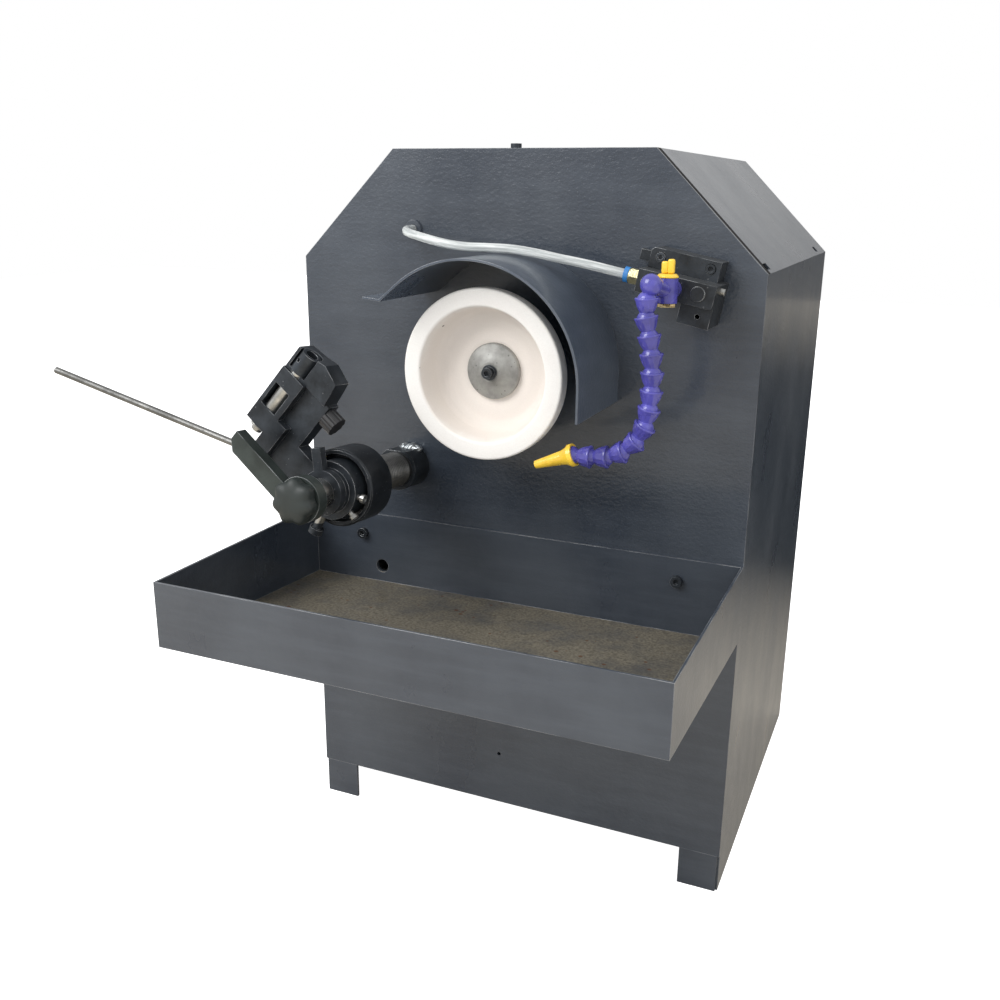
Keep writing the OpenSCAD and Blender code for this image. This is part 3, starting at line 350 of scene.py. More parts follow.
def enamel(name, peel=0.35, wear=1.0, tone=1.0, grime=False, seam=False):
    """Brushed-on slate enamel with an orange-peel skin and rubbed edges."""
    c = colours()
    finish = Finish(name, coat=ENAMEL_COAT)
    tree = finish.tree
    cloud = effect(tree, "Mottle", Scale=9.0, Stretch=(1.0, 1.0, 0.6)).outputs["Value"]
    streaks = effect(tree, "Mottle", Scale=38.0, Stretch=(0.35, 1.0, 2.4), Detail=3.0,
                     Low=0.42, High=0.70).outputs["Value"]
    paint = blend(tree, calc(tree, "MULTIPLY", cloud, 0.75), rgba(c.slate, tone),
                  rgba(c.slate_pale, tone))
    paint = blend(tree, calc(tree, "MULTIPLY", streaks, 0.25), paint,
                  rgba(c.slate_pale, 1.35 * tone))
    edge = effect(tree, "Edge Wear And Highlight", Radius=0.0009, Breakup=26.0, Amount=wear)
    paint = blend(tree, edge.outputs["Mask"], paint, rgba(c.worn))
    rough = fit_range(tree, cloud, 0.0, 1.0, 0.26, 0.40)
    axes = axes_of(tree, place_in(tree))
    if seam:
        # A dark, dull band without coat along the joint on upward faces: a dark joint widened
        # with painted shade from the panel's proud edge.
        line = between(tree, axes["Y"], SEAM_FRONT, SEAM_BACK, SEAM_SOFT)
        gap_and_shade = calc(tree, "MULTIPLY", line, fit_range(tree, upward(tree), 0.3, 0.5))
        paint = blend(tree, gap_and_shade, paint, SEAM_GAP_SHADE)
        rough = calc(tree, "MAXIMUM", rough, gap_and_shade)
        finish.set("Coat Weight", fit_range(tree, gap_and_shade, 0.0, 1.0, ENAMEL_COAT, 0.0))
    if grime:
        level = fit_range(tree, upward(tree), 0.85, 0.97)
        low = fit_range(tree, axes["Z"], GRIME_TOP, GRIME_FULL)
        floor = calc(tree, "MULTIPLY", level, low)
        patches = effect(tree, "Mottle", Scale=22.0, Detail=8.0, Low=0.30,
                         High=0.55).outputs["Value"]
        fine = effect(tree, "Mottle", Scale=420.0, Detail=4.0, Low=0.36,
                      High=0.64).outputs["Value"]
        dirt = blend(tree, fine, rgba(c.grime, 0.55), rgba(c.grime, 1.25))
        share = calc(tree, "MULTIPLY", floor, fit_range(tree, patches, 0.0, 1.0, 0.45, 0.95))
        paint = blend(tree, share, paint, dirt)
        rust = effect(tree, "Specks", Scale=130.0, Share=0.16).outputs["Mask"]
        paint = blend(tree, calc(tree, "MULTIPLY", rust, floor), paint, RUST)
        rough = calc(tree, "MAXIMUM", rough, calc(tree, "MULTIPLY", share, 0.75))
    finish.set("Base Color", paint)
    finish.set("Roughness", rough)
    dimples = 1.0 / sizes().peel / DIMPLES_PER_CLOUD
    skin = effect(tree, "Mottle", Scale=dimples, Stretch=(0.8, 1.0, 1.2),
                  Detail=2.0, Low=0.25, High=0.75).outputs["Value"]
    finish.relief(skin, peel, 0.0006, edge.outputs["Normal"])
    return finish.material


def blackened(name, tone=1.0, wear=1.0, rough=0.38, lighter_top=0.0):
    """Oil-blackened steel, bright where its edges are rubbed."""
    c = colours()
    finish = Finish(name, metallic=0.45)
    tree = finish.tree
    cloud = effect(tree, "Mottle", Scale=45.0, Detail=6.0).outputs["Value"]
    metal = blend(tree, cloud, rgba(c.black, tone), rgba(c.black, 2.6 * tone))
    wear_and_highlight = effect(tree, "Specks", Scale=420.0, Share=0.10).outputs["Mask"]
    metal = blend(tree, calc(tree, "MULTIPLY", wear_and_highlight, 0.25), metal, rgba(c.worn))
    edge = effect(tree, "Edge Wear And Highlight", Radius=0.0007, Breakup=70.0, Amount=wear)
    metal = blend(tree, edge.outputs["Mask"], metal, rgba(c.worn, 1.2))
    if lighter_top:
        # Upward faces are blended towards a pale grey by this share.
        above = fit_range(tree, upward(tree), 0.6, 0.95)
        metal = blend(tree, calc(tree, "MULTIPLY", above, lighter_top), metal, rgba(c.worn, 0.45))
    finish.set("Base Color", metal)
    finish.set("Roughness", fit_range(tree, cloud, 0.0, 1.0, rough - 0.08, rough + 0.1))
    grain = effect(tree, "Mottle", Scale=520.0, Detail=3.0).outputs["Value"]
    finish.relief(grain, 0.12, 0.0003, edge.outputs["Normal"])
    return finish.material


def bright_steel(name, tone, rough=0.32, rings=None, spotted=0.0, metallic=1.0):
    """Bare machined steel; rings gives the axis that its turning marks run round."""
    finish = Finish(name, metallic=metallic)
    tree = finish.tree
    cloud = effect(tree, "Mottle", Scale=60.0, Detail=6.0).outputs["Value"]
    metal = blend(tree, cloud, rgba(tone, 0.72), rgba(tone, 1.08))
    if spotted:
        spots = effect(tree, "Specks", Scale=330.0, Share=spotted).outputs["Mask"]
        metal = blend(tree, calc(tree, "MULTIPLY", spots, 0.6), metal, rgba(tone, 0.3))
    finish.set("Base Color", metal)
    finish.set("Roughness", fit_range(tree, cloud, 0.0, 1.0, rough + 0.1, rough - 0.06))
    edge = effect(tree, "Edge Wear And Highlight", Radius=0.0005, Breakup=90.0, Amount=0.5)
    if rings is None:
        marks = effect(tree, "Mottle", Scale=700.0, Detail=2.0).outputs["Value"]
    else:
        marks = effect(tree, "Turned Marks", Centre=rings, Scale=2200.0).outputs["Height"]
    finish.relief(marks, 0.22, 0.0003, edge.outputs["Normal"])
    return finish.material


def capped_steel(name, axis, start):
    """Bright steel that is blackened from a given place along an axis, in metres."""
    c = colours()
    finish = Finish(name)
    tree = finish.tree
    along = combine(tree, "DOT_PRODUCT", place_in(tree), axis).outputs["Value"]
    head = fit_range(tree, along, start, start + 0.0006)
    cloud = effect(tree, "Mottle", Scale=70.0, Detail=6.0).outputs["Value"]
    bright = blend(tree, cloud, rgba(c.steel, 0.8), rgba(c.steel, 1.5))
    dark = blend(tree, cloud, rgba(c.black, 1.2), rgba(c.black, 3.0))
    edge = effect(tree, "Edge Wear And Highlight", Radius=0.0007, Breakup=80.0, Amount=1.0)
    shade = blend(tree, edge.outputs["Mask"], blend(tree, head, bright, dark), rgba(c.worn, 1.4))
    finish.set("Base Color", shade)
    finish.set("Metallic", fit_range(tree, head, 0.0, 1.0, 1.0, 0.5))
    finish.set("Roughness", fit_range(tree, cloud, 0.0, 1.0, 0.42, 0.25))
    finish.set("Normal", edge.outputs["Normal"])
    return finish.material


def moulded(name, tone, rough=0.3, coat=0.3, variation=0.14, soft=0.0, wear_and_highlight=0.35):
    """Moulded plastic with a faint flow pattern, softened edges and a painted highlight that
    lightens its edges.
    """
    finish = Finish(name, coat=coat, Subsurface_Weight=soft)
    tree = finish.tree
    if soft:
        finish.set("Subsurface Radius", (0.004, 0.003, 0.002))
    flow = effect(tree, "Mottle", Scale=55.0, Detail=3.0).outputs["Value"]
    shade = blend(tree, flow, rgba(tone, 1.0 - variation), rgba(tone, 1.0 + variation))
    # Edges turn to a brighter copy of the plastic's own colour: a painted highlight along the
    # edges.
    edge = effect(tree, "Edge Wear And Highlight", Radius=0.0004, Breakup=120.0, Amount=wear_and_highlight)
    shade = blend(tree, edge.outputs["Mask"], shade, rgba(tone, 2.2))
    finish.set("Base Color", shade)
    finish.set("Roughness", fit_range(tree, flow, 0.0, 1.0, rough - 0.05, rough + 0.08))
    skin = effect(tree, "Mottle", Scale=900.0, Detail=2.0).outputs["Value"]
    finish.relief(skin, 0.06, 0.0002, edge.outputs["Normal"])
    return finish.material


# Radii on the wheel in metres: where the rim's white turns to the bowl's cream, and the
# ring of painted shade where the bowl's wall meets its floor.
RIM_INSIDE, BOWL_OUTSIDE = 0.0625, 0.0590
BOWL_SHADE_RING = (0.040, 0.050, 0.006)
BOWL_TINT = (0.82, 0.75, 0.71, 1.0)
SPECK = (0.10, 0.08, 0.07, 1.0)


def grinding_grit(name):
    """White bonded abrasive: a dressed white rim and a cream bowl with a few dark specks."""
    c = colours()
    finish = Finish(name, roughness=0.85)
    tree = finish.tree
    radius = from_axis(tree, SPINDLE_AT)
    cloud = effect(tree, "Mottle", Scale=26.0, Detail=5.0).outputs["Value"]
    wobble = calc(tree, "ADD", radius, calc(tree, "MULTIPLY", cloud, 0.003))
    inside = fit_range(tree, wobble, RIM_INSIDE, BOWL_OUTSIDE)
    shade = blend(tree, inside, rgba(c.abrasive), rgba(c.bowl))
    # Painted shade: the bowl is darkened in a ring where its wall meets its floor.
    ring = between(tree, wobble, *BOWL_SHADE_RING)
    shade = blend(tree, calc(tree, "MULTIPLY", ring, 0.35), shade, rgba(c.bowl, 0.82))
    tint = calc(tree, "MULTIPLY", cloud, 0.22)
    shade = blend(tree, tint, shade, BOWL_TINT)
    grain = effect(tree, "Mottle", Scale=900.0, Detail=3.0).outputs["Value"]
    shade = blend(tree, calc(tree, "MULTIPLY", grain, 0.10), shade, rgba(c.bowl, 0.7))
    dark = effect(tree, "Specks", Scale=170.0, Share=0.05).outputs["Mask"]
    shade = blend(tree, calc(tree, "MULTIPLY", dark, calc(tree, "MULTIPLY", inside, 0.8)),
                  shade, SPECK)
    finish.set("Base Color", shade)
    pits = effect(tree, "Mottle", Scale=1300.0, Detail=2.0).outputs["Value"]
    finish.relief(pits, 0.35, 0.0003)
    return finish.material


def clear_tube(name):
    """Clear PVC with pale streaks along it, on the hose's own UV map."""
    finish = Finish(name, roughness=0.12, Transmission_Weight=0.35, IOR=1.4)
    tree = finish.tree
    around = put(tree, "ShaderNodeTexCoord").outputs["UV"]
    laid = combine(tree, "MULTIPLY", around, (5.0, 7.0, 1.0))
    streak = put(tree, "ShaderNodeTexNoise", {"Vector": laid.outputs[0], "Scale": 1.6,
                                              "Detail": 4.0})
    share = fit_range(tree, streak.outputs["Fac"], 0.40, 0.62)
    finish.set("Base Color", blend(tree, share, (0.55, 0.58, 0.58, 1.0), (0.96, 0.99, 0.98, 1.0)))
    finish.relief(share, 0.15, 0.0003)
    return finish.material


def galvanised_sheet(name):
    """Zinc-coated sheet with its pattern of crystals."""
    finish = Finish(name, metallic=0.9)
    tree = finish.tree
    cells = put(tree, "ShaderNodeTexVoronoi", {"Vector": place_in(tree), "Scale": 70.0})
    pick = put(tree, "ShaderNodeSeparateColor", {"Color": cells.outputs["Color"]}).outputs[0]
    finish.set("Base Color", blend(tree, pick, (0.30, 0.32, 0.34, 1.0), (0.46, 0.48, 0.50, 1.0)))
    finish.set("Roughness", fit_range(tree, pick, 0.0, 1.0, 0.32, 0.5))
    finish.relief(pick, 0.08, 0.0002)
    return finish.material


def weld_metal(name):
    """Bright weld metal with dull blotches."""
    finish = Finish(name, metallic=0.9)
    tree = finish.tree
    cloud = effect(tree, "Mottle", Scale=260.0, Detail=5.0).outputs["Value"]
    finish.set("Base Color", blend(tree, cloud, (0.16, 0.18, 0.20, 1.0), (0.72, 0.76, 0.78, 1.0)))
    finish.set("Roughness", fit_range(tree, cloud, 0.0, 1.0, 0.5, 0.2))
    lumps = effect(tree, "Mottle", Scale=420.0, Detail=3.0).outputs["Value"]
    finish.relief(lumps, 0.5, 0.0006)
    return finish.material


def bar_paint(name):
    """Greenish grey bar paint, rubbed bright along its edges."""
    c = colours()
    finish = Finish(name, metallic=0.3)
    tree = finish.tree
    cloud = effect(tree, "Mottle", Scale=30.0, Detail=6.0).outputs["Value"]
    shade = blend(tree, cloud, rgba(c.bar, 0.75), rgba(c.bar, 1.35))
    edge = effect(tree, "Edge Wear And Highlight", Radius=0.0009, Breakup=40.0, Amount=1.0)
    shade = blend(tree, edge.outputs["Mask"], shade, rgba(c.worn, 1.3))
    finish.set("Base Color", shade)
    finish.set("Roughness", fit_range(tree, cloud, 0.0, 1.0, 0.32, 0.46))
    grain = effect(tree, "Mottle", Scale=500.0, Detail=3.0).outputs["Value"]
    finish.relief(grain, 0.12, 0.0003, edge.outputs["Normal"])
    return finish.material


FINISHES = {}


# Pieces that are bright below a place along an axis and black beyond it.
SPINDLE_CAP = ((0.642788, 0.060103, 0.763683), 0.2820)
ARM_SCREW_CAP = ((0.0, 0.0, -1.0), -0.380)
MANIFOLD_SCREW_CAP = ((0.190809, 0.0, 0.981627), 0.6200)


def finish_named(key):
    """The material of a finish, made when it is first asked for."""
    c = colours()
    makers = {
        "cabinet": lambda: enamel("Slate enamel, cabinet", peel=0.40, wear=0.75, seam=True),
        "tray": lambda: enamel("Slate enamel, tray", peel=0.22, wear=1.0, grime=True),
        # The guard gets a 1.6 times lighter copy of the slate enamel: painted light on its lit
        # outer side.
        "guard": lambda: enamel("Slate enamel, guard, painted lighter", peel=0.25, wear=0.9, tone=1.6),
        "frame": lambda: enamel("Frame paint", peel=0.2, wear=0.5),
        "black": lambda: blackened("Blackened steel"),
        "black screw": lambda: blackened("Blackened screws", wear=0.8, rough=0.3),
        # The manifold's upward faces are made lighter.
        "manifold": lambda: blackened("Manifold paint", tone=0.9, wear=1.0, rough=0.42,
                                      lighter_top=0.45),
        "arm bar": lambda: bar_paint("Arm bar paint"),
        "flange": lambda: bright_steel("Turned flange", c.steel, rough=0.62, rings=SPINDLE_AT,
                                       spotted=0.25, metallic=0.7),
        "steel": lambda: bright_steel("Bare steel", c.steel, rough=0.28),
        "thread": lambda: bright_steel("Oily thread", (0.22, 0.22, 0.215), rough=0.4),
        "rod": lambda: bright_steel("Lever rod", (0.17, 0.17, 0.165), rough=0.45),
        "spindle": lambda: capped_steel("Tool spindle", *SPINDLE_CAP),
        "arm screw": lambda: capped_steel("Arm screws", *ARM_SCREW_CAP),
        "manifold screw": lambda: capped_steel("Manifold screws", *MANIFOLD_SCREW_CAP),
        "collar": lambda: blackened("Collar steel", tone=0.6),
        "grit": lambda: grinding_grit("White abrasive"),
        "motor": lambda: moulded("Motor paint", (0.10, 0.14, 0.18), rough=0.4),
        "sheet": lambda: galvanised_sheet("Galvanised sheet"),
        "tube": lambda: clear_tube("Clear hose"),
        "rubber": lambda: moulded("Black rubber", (0.014, 0.014, 0.014), rough=0.6, coat=0.0),
        "brass": lambda: bright_steel("Pale brass", c.brass, rough=0.3),
        "blue": lambda: moulded("Blue plastic", c.blue, rough=0.3),
        # The violet's rims and ribs get a strong painted highlight on their edges.
        "violet": lambda: moulded("Violet plastic", c.violet, rough=0.24, coat=0.5, soft=0.05,
                                  variation=0.25, wear_and_highlight=1.0),
        "yellow": lambda: moulded("Yellow plastic", c.yellow, rough=0.3, coat=0.3, soft=0.08),
        "cream": lambda: moulded("Pale yellow plastic", (0.80, 0.60, 0.26), rough=0.35),
        "knob": lambda: moulded("Knob plastic", c.knob, rough=0.5, coat=0.0),
        "black plastic": lambda: moulded("Black plastic", (0.016, 0.016, 0.018), rough=0.45),
        "green": lambda: moulded("Green plastic", (0.02, 0.30, 0.08), rough=0.3),
        "red": lambda: moulded("Red plastic", (0.52, 0.02, 0.02), rough=0.3),
        "weld": lambda: weld_metal("Weld metal"),
    }
    if key not in FINISHES:
        FINISHES[key] = makers[key]()
    return FINISHES[key]


NODE_FINISH = {
    "cabinet": ["front_panel", "cabinet_shell", "rear_cover"],
    "tray": ["drip_tray"],
    "guard": ["wheel_guard"],
    "frame": ["base_frame", "panel_grommet"],
    "arm screw": ["arm_screws"],
    "sheet": ["inner_shelves", "coolant_tank"],
    "motor": ["motor_body", "motor_covers"],
    "steel": ["motor_bearings", "rotor_shaft", "back_flange", "thrust_washer", "pivot_shaft"],
    "spindle": ["tool_spindle"],
    "rod": ["lever_rod"],
    "collar": ["feed_collar"],
    "flange": ["front_flange"],
    "black screw": ["clamp_screw", "cabinet_screws"],
    "manifold screw": ["manifold_screws"],
    "black plastic": ["pump_body", "clamp_thumbscrew", "switch_box"],
    "rubber": ["drain_pipe"],
    "tube": ["riser_pipe"],
    "brass": ["push_fitting"],
    "blue": ["release_collar"],
    "manifold": ["manifold_bar", "manifold_block"],
    "violet": ["tap_body"] + ["hose_segment_%02d" % i for i in range(1, 13)],
    "yellow": ["nozzle", "tap_handle"],
    "black": ["arm_boss", "swing_bracket", "tool_block", "block_cap", "stop_ring"],
    "thread": ["threaded_sleeve"],
    "arm bar": ["arm_bar"],
    "knob": ["star_knob"],
    "green": ["start_button"],
    "red": ["stop_button"],
    "grit": ["grinding_wheel"],
}

# ---- Mesh helpers ----


WELD_DISTANCE = 1e-4
SMALLEST_ROUND = 0.05


def finished(name, bm, place, finish, body, replaces=(), smooth_angle=35.0):
    """Turns a bmesh in millimetres into a piece that rides on a body."""
    bmesh.ops.remove_doubles(bm, verts=bm.verts, dist=WELD_DISTANCE)
    bmesh.ops.recalc_face_normals(bm, faces=bm.faces)
    bmesh.ops.transform(bm, matrix=place, verts=bm.verts)
    mesh = bpy.data.meshes.new(name)
    bm.to_mesh(mesh)
    bm.free()
    mesh.shade_smooth()
    mesh.set_sharp_from_angle(angle=math.radians(smooth_angle))
    mesh.materials.append(finish_named(finish))
    piece = bpy.data.objects.new(name, mesh)
    bpy.context.scene.collection.objects.link(piece)
    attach(piece, body)
    if replaces:
        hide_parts(*replaces)
    return piece


def spin_profile(bm, profile, steps=96):
    """Spins a closed outline of (radius, height) points round the z axis."""
    verts = [bm.verts.new((r, 0.0, h)) for r, h in profile]
    edges = [bm.edges.new((verts[i], verts[(i + 1) % len(verts)])) for i in range(len(verts))]
    bmesh.ops.spin(bm, geom=verts + edges, cent=(0, 0, 0), axis=(0, 0, 1), dvec=(0, 0, 0),
                   angle=2 * math.pi, steps=steps, use_merge=True)


def rounded(profile, radius, segments=4):
    """Rounds the corners of a closed outline, by at most a third of each side."""
    result = []
    count = len(profile)
    for i, here in enumerate(profile):
        before, after = profile[i - 1], profile[(i + 1) % count]
        p, a, b = Vector(here), Vector(before), Vector(after)
        cut = min(radius, (a - p).length / 3, (b - p).length / 3)
        start, end = p + (a - p).normalized() * cut, p + (b - p).normalized() * cut
        if cut < SMALLEST_ROUND:
            result.append(tuple(p))
            continue
        for k in range(segments + 1):
            t = k / segments
            q = (1 - t) ** 2 * start + 2 * t * (1 - t) * p + t * t * end
            result.append(tuple(q))
    return result


# ---- Pieces ----


class SHARPENER_OT_finishes(bpy.types.Operator):
    """Gives every CAD node its finish"""
    bl_idname = "sharpener.finishes"
    bl_label = "Finishes"

    def execute(self, context):
        for key, names in NODE_FINISH.items():
            material = finish_named(key)
            for name in names:
                node = CAD_NODES[name]
                if not node.material_slots:
                    raise RuntimeError("%s has no material slot" % name)
                for slot in node.material_slots:
                    slot.material = material
        return {"FINISHED"}


# Half of the cup wheel's section as radius and distance out of the panel, in millimetres.
WHEEL = [
    (16.0, 27.0), (55.0, 27.0), (75.0, 63.0), (75.0, 77.0), (59.5, 77.0), (54.5, 55.0),
    (50.5, 49.0), (45.5, 46.0), (16.0, 46.0),
]


class SHARPENER_OT_wheel(bpy.types.Operator):
    """Cup wheel with a rounded rim and a curved bowl"""
    bl_idname = "sharpener.wheel"
    bl_label = "Cup wheel"

    def execute(self, context):
        bm = bmesh.new()
        spin_profile(bm, rounded(WHEEL, sizes().rim_round / MM * 2.0), steps=128)
        finished("cup_wheel", bm, on_panel(0, SPINDLE_Z), "grit",
                 "wheel_spindle", ["grinding_wheel"])
        return {"FINISHED"}


class SHARPENER_OT_arm_pieces(bpy.types.Operator):
    """Grooved sleeve, weld and star knob of the tool arm"""
    bl_idname = "sharpener.arm_pieces"
    bl_label = "Tool arm"

    def execute(self, context):
        self.sleeve()
        self.weld()
        self.knob()
        return {"FINISHED"}

    def sleeve(self):
        outer, bore, low, high = 17.0, 12.55, -26.0, 127.0
        plain, plain_end = 34.0, 2.0
        pitch, depth = sizes().thread_pitch / MM, sizes().thread_depth / MM
        outline = [(bore, low), (outer, low), (outer, plain)]
        at = plain
        while at + pitch < high - plain_end:
            outline += [(outer, at + 0.15 * pitch), (outer - depth, at + 0.5 * pitch),
                        (outer, at + 0.85 * pitch)]
            at += pitch
        outline += [(outer, high), (bore, high)]
        bm = bmesh.new()
        spin_profile(bm, outline, steps=72)
        finished("grooved_sleeve", bm, on_arm(), "thread", "root",
                 ["threaded_sleeve"], smooth_angle=25.0)

    def weld(self):
        half, wide, proud = sizes().weld_length / MM / 2, 4.6, 5.2
        bm = bmesh.new()
        bmesh.ops.create_icosphere(bm, subdivisions=4, radius=1.0)
        for vert in bm.verts:
            ripple = 1.0 + 0.16 * math.sin(9.0 * vert.co.x)
            lump = 1.0 + 0.30 * noise.noise(vert.co * 3.1)
            vert.co = Vector((vert.co.x * half, vert.co.y * wide * ripple * lump,
                              vert.co.z * proud * ripple * lump))
        finished("boss_weld", bm, on_panel(ARM_X + 3.0, ARM_Z + 18.5, 5.4), "weld",
                 "root", smooth_angle=80.0)

    def knob(self):
        lobes, count, turn = 7, 126, math.radians(27.1)
        depth, outer = sizes().knob_lobe / MM, 20.0
        bore, bore_depth = 8.05, 11.0
        low, high = 197.3, 211.3
        # Radius share and height of the loops, from the back face to the middle of the dome.
        loops = [(0.86, low), (0.97, low + 0.8), (1.0, low + 2.4), (1.0, low + 8.2),
                 (0.975, low + 9.8), (0.90, low + 11.4), (0.76, low + 12.7),
                 (0.55, low + 13.5), (0.30, high - 0.1)]
        bm = bmesh.new()
        rings = []
        for share, height in loops:
            made = bmesh.ops.create_circle(bm, cap_ends=False, radius=1.0, segments=count)
            ring = made["verts"]
            hollow = depth * min(1.0, max(0.0, (share - 0.3) / 0.6))
            for vert in ring:
                angle = math.atan2(vert.co.y, vert.co.x)
                wave = math.cos(lobes * (angle - turn))
                r = outer * share - hollow * (1.0 - wave)
                vert.co = Vector((r * math.cos(angle), r * math.sin(angle), height))
            rings.append(ring)
        for first, second in zip(rings, rings[1:]):
            edges = [e for ring in (first, second) for e in self.loop_edges(ring)]
            bmesh.ops.bridge_loops(bm, edges=edges)
        bm.faces.new(rings[-1])
        turns = [k * 2 * math.pi / count for k in range(count)]
        back = [bm.verts.new((bore * math.cos(t), bore * math.sin(t), low)) for t in turns]
        for k in range(count):
            bm.edges.new((back[k], back[(k + 1) % count]))
        bmesh.ops.bridge_loops(bm, edges=self.loop_edges(back) + self.loop_edges(rings[0]))
        wall = bmesh.ops.extrude_edge_only(bm, edges=self.loop_edges(back))
        deep = [v for v in wall["geom"] if isinstance(v, bmesh.types.BMVert)]
        for vert in deep:
            vert.co.z = low + bore_depth
        edges = [e for e in wall["geom"] if isinstance(e, bmesh.types.BMEdge)
                 and all(v in deep for v in e.verts)]
        bmesh.ops.contextual_create(bm, geom=edges)
        finished("star_grip", bm, on_arm(), "knob", "star_knob",
                 ["star_knob"], smooth_angle=50.0)

    @staticmethod
    def loop_edges(ring):
        """The edges that join the vertices of one ring."""
        members = set(ring)
        return list({e for v in ring for e in v.link_edges
                     if e.other_vert(v) in members})


TAP_X, TAP_OUT = 157.5, 66.0
# Heights of the tap handle above the floor, and of its ring under the barrel.
STEM_LOW, FLANGE_LOW, FLANGE_EDGE, FLANGE_TOP = 579.4, 599.3, 600.6, 602.6
RING_LOW, RING_TOP = 576.2, 579.2
# The two lobes of the lever: place along X and height.
LOBES = ((-2.5, 9.6), (2.5, 11.4))
LOBE_W, LOBE_D, LOBE_ROUND, LOBE_SINK = 5.4, 5.0, 1.6, 0.2


class SHARPENER_OT_tap(bpy.types.Operator):
    """Tap handle: a flared disc with a two-lobed lever, its stem and its ring"""
    bl_idname = "sharpener.tap"
    bl_label = "Tap handle"

    def execute(self, context):
        place = placed((TAP_X, PANEL_Y - TAP_OUT, 0.0), (1, 0, 0), (0, 1, 0), (0, 0, 1))
        bm = bmesh.new()
        profile = [(3.0, STEM_LOW), (3.0, FLANGE_LOW), (8.6, FLANGE_LOW), (8.6, FLANGE_EDGE),
                   (6.6, FLANGE_TOP)]
        spin_profile(bm, rounded(profile, 0.7) + [(0.0, FLANGE_TOP), (0.0, STEM_LOW)], steps=64)
        finished("tap_stem", bm, place, "yellow", "tap_lever", ["tap_handle"])
        bm = bmesh.new()
        spin_profile(bm, rounded([(7.0, RING_LOW), (7.0, RING_TOP)], 0.5)
                     + [(0.0, RING_TOP), (0.0, RING_LOW)], steps=64)
        finished("tap_ring", bm, place, "cream", "tap_lever")
        bm = bmesh.new()
        for x, height in LOBES:
            lobe = bmesh.ops.create_cube(bm, size=1.0)["verts"]
            middle = FLANGE_TOP - LOBE_SINK + height / 2
            bmesh.ops.scale(bm, vec=(LOBE_W, LOBE_D, height), verts=lobe)
            bmesh.ops.translate(bm, vec=(x, 0.0, middle), verts=lobe)
        bmesh.ops.bevel(bm, geom=bm.edges[:], offset=LOBE_ROUND, offset_type="OFFSET",
                        segments=4, profile=0.5, affect="EDGES", material=-1)
        finished("tap_lever_grip", bm, place, "yellow", "tap_lever")
        return {"FINISHED"}


HOSE_OUT = 90.0
HOSE_START = (148.0, 582.5)
HOSE_PITCH = 14.6
# The way that each segment points, in degrees from level.
HOSE_HEADINGS = [-88, -78, -80, -85, -90, -95, -103, -119, -139, -159, -174, -179]


# Outer line of a bell as radius and place along the segment, from its lip to its neck.
BELL = [
    (9.0, -2.8), (9.5, -2.5), (9.65, -2.1), (9.6, -1.1), (9.25, -0.6), (8.98, 0.2),
    (8.24, 2.1), (7.44, 4.1), (6.65, 6.1), (5.7, 8.4), (5.5, 9.0),
]


def on_hose(x, z, heading):
    """z runs along a segment of the hose, x out of the panel."""
    c, s = math.cos(math.radians(heading)), math.sin(math.radians(heading))
    return placed((x, PANEL_Y - HOSE_OUT, z), (0, -1, 0), (-s, 0, c), (c, 0, s))


def arc(radius, middle, start, end, steps):
    """Points of a ball's outline between two angles from the axis, in degrees."""
    turns = [math.radians(start + (end - start) * k / steps) for k in range(steps + 1)]
    return [(radius * math.sin(t), middle + radius * math.cos(t)) for t in turns]


class SHARPENER_OT_hose_bells(bpy.types.Operator):
    """Ribbed bells of the segmented hose"""
    bl_idname = "sharpener.hose_bells"
    bl_label = "Hose bells"

    def execute(self, context):
        x, z = HOSE_START
        for i, heading in enumerate(HOSE_HEADINGS, 1):
            self.bell(i, on_hose(x, z, heading))
            x += HOSE_PITCH * math.cos(math.radians(heading))
            z += HOSE_PITCH * math.sin(math.radians(heading))
        return {"FINISHED"}

    def bell(self, number, place):
        ball, socket, neck, flow = 8.0, 8.15, 5.2, 3.0
        ball_foot, ball_mouth, mouth_angle, socket_angle = 5.55, 5.0, 51.3, 110.0
        ribs, rib_height, rib_low, rib_high = 12, 0.45, 1.0, 8.0
        start = math.degrees(math.asin(ball_foot / ball))
        outside = BELL + arc(ball, HOSE_PITCH, 180.0 - start, mouth_angle, 10)
        inside = arc(socket, 0.0, math.degrees(math.asin(flow / socket)), socket_angle, 8)
        bm = bmesh.new()
        spin_profile(bm, outside + [(flow, HOSE_PITCH + ball_mouth)] + inside, steps=60)
        for vert in bm.verts:
            r = math.hypot(vert.co.x, vert.co.y)
            hollow = socket * math.sqrt(max(0.0, 1 - (vert.co.z / socket) ** 2))
            if rib_low < vert.co.z < rib_high and r > neck and r > 1.01 * hollow:
                angle = math.atan2(vert.co.y, vert.co.x)
                raised = rib_height * max(0.0, math.cos(ribs * angle)) ** 3
                vert.co.x *= 1 + raised / r
                vert.co.y *= 1 + raised / r
        finished("hose_bell_%02d" % number, bm, place, "violet",
                 "hose_%02d" % number, ["hose_segment_%02d" % number], smooth_angle=40.0)


# The clear hose's route as x, height and distance out of the panel.
HOSE_ROUTE = [
    (-104, 628.5, -12), (-104, 628.5, 5), (-103.6, 628.4, 12), (-101, 628, 20),
    (-97, 627, 27), (-91, 626, 32.5), (-82, 624.5, 37), (-70, 622, 39.5), (-52, 618.5, 40.5),
    (-32, 616.5, 41), (-10, 616.2, 41), (12, 615.6, 41), (34, 613, 40.5), (54, 609.5, 39.5),
    (72, 606.6, 38.6), (88.9, 603.6, 38), (103.6, 600.7, 38), (122.2, 597.1, 38),
]


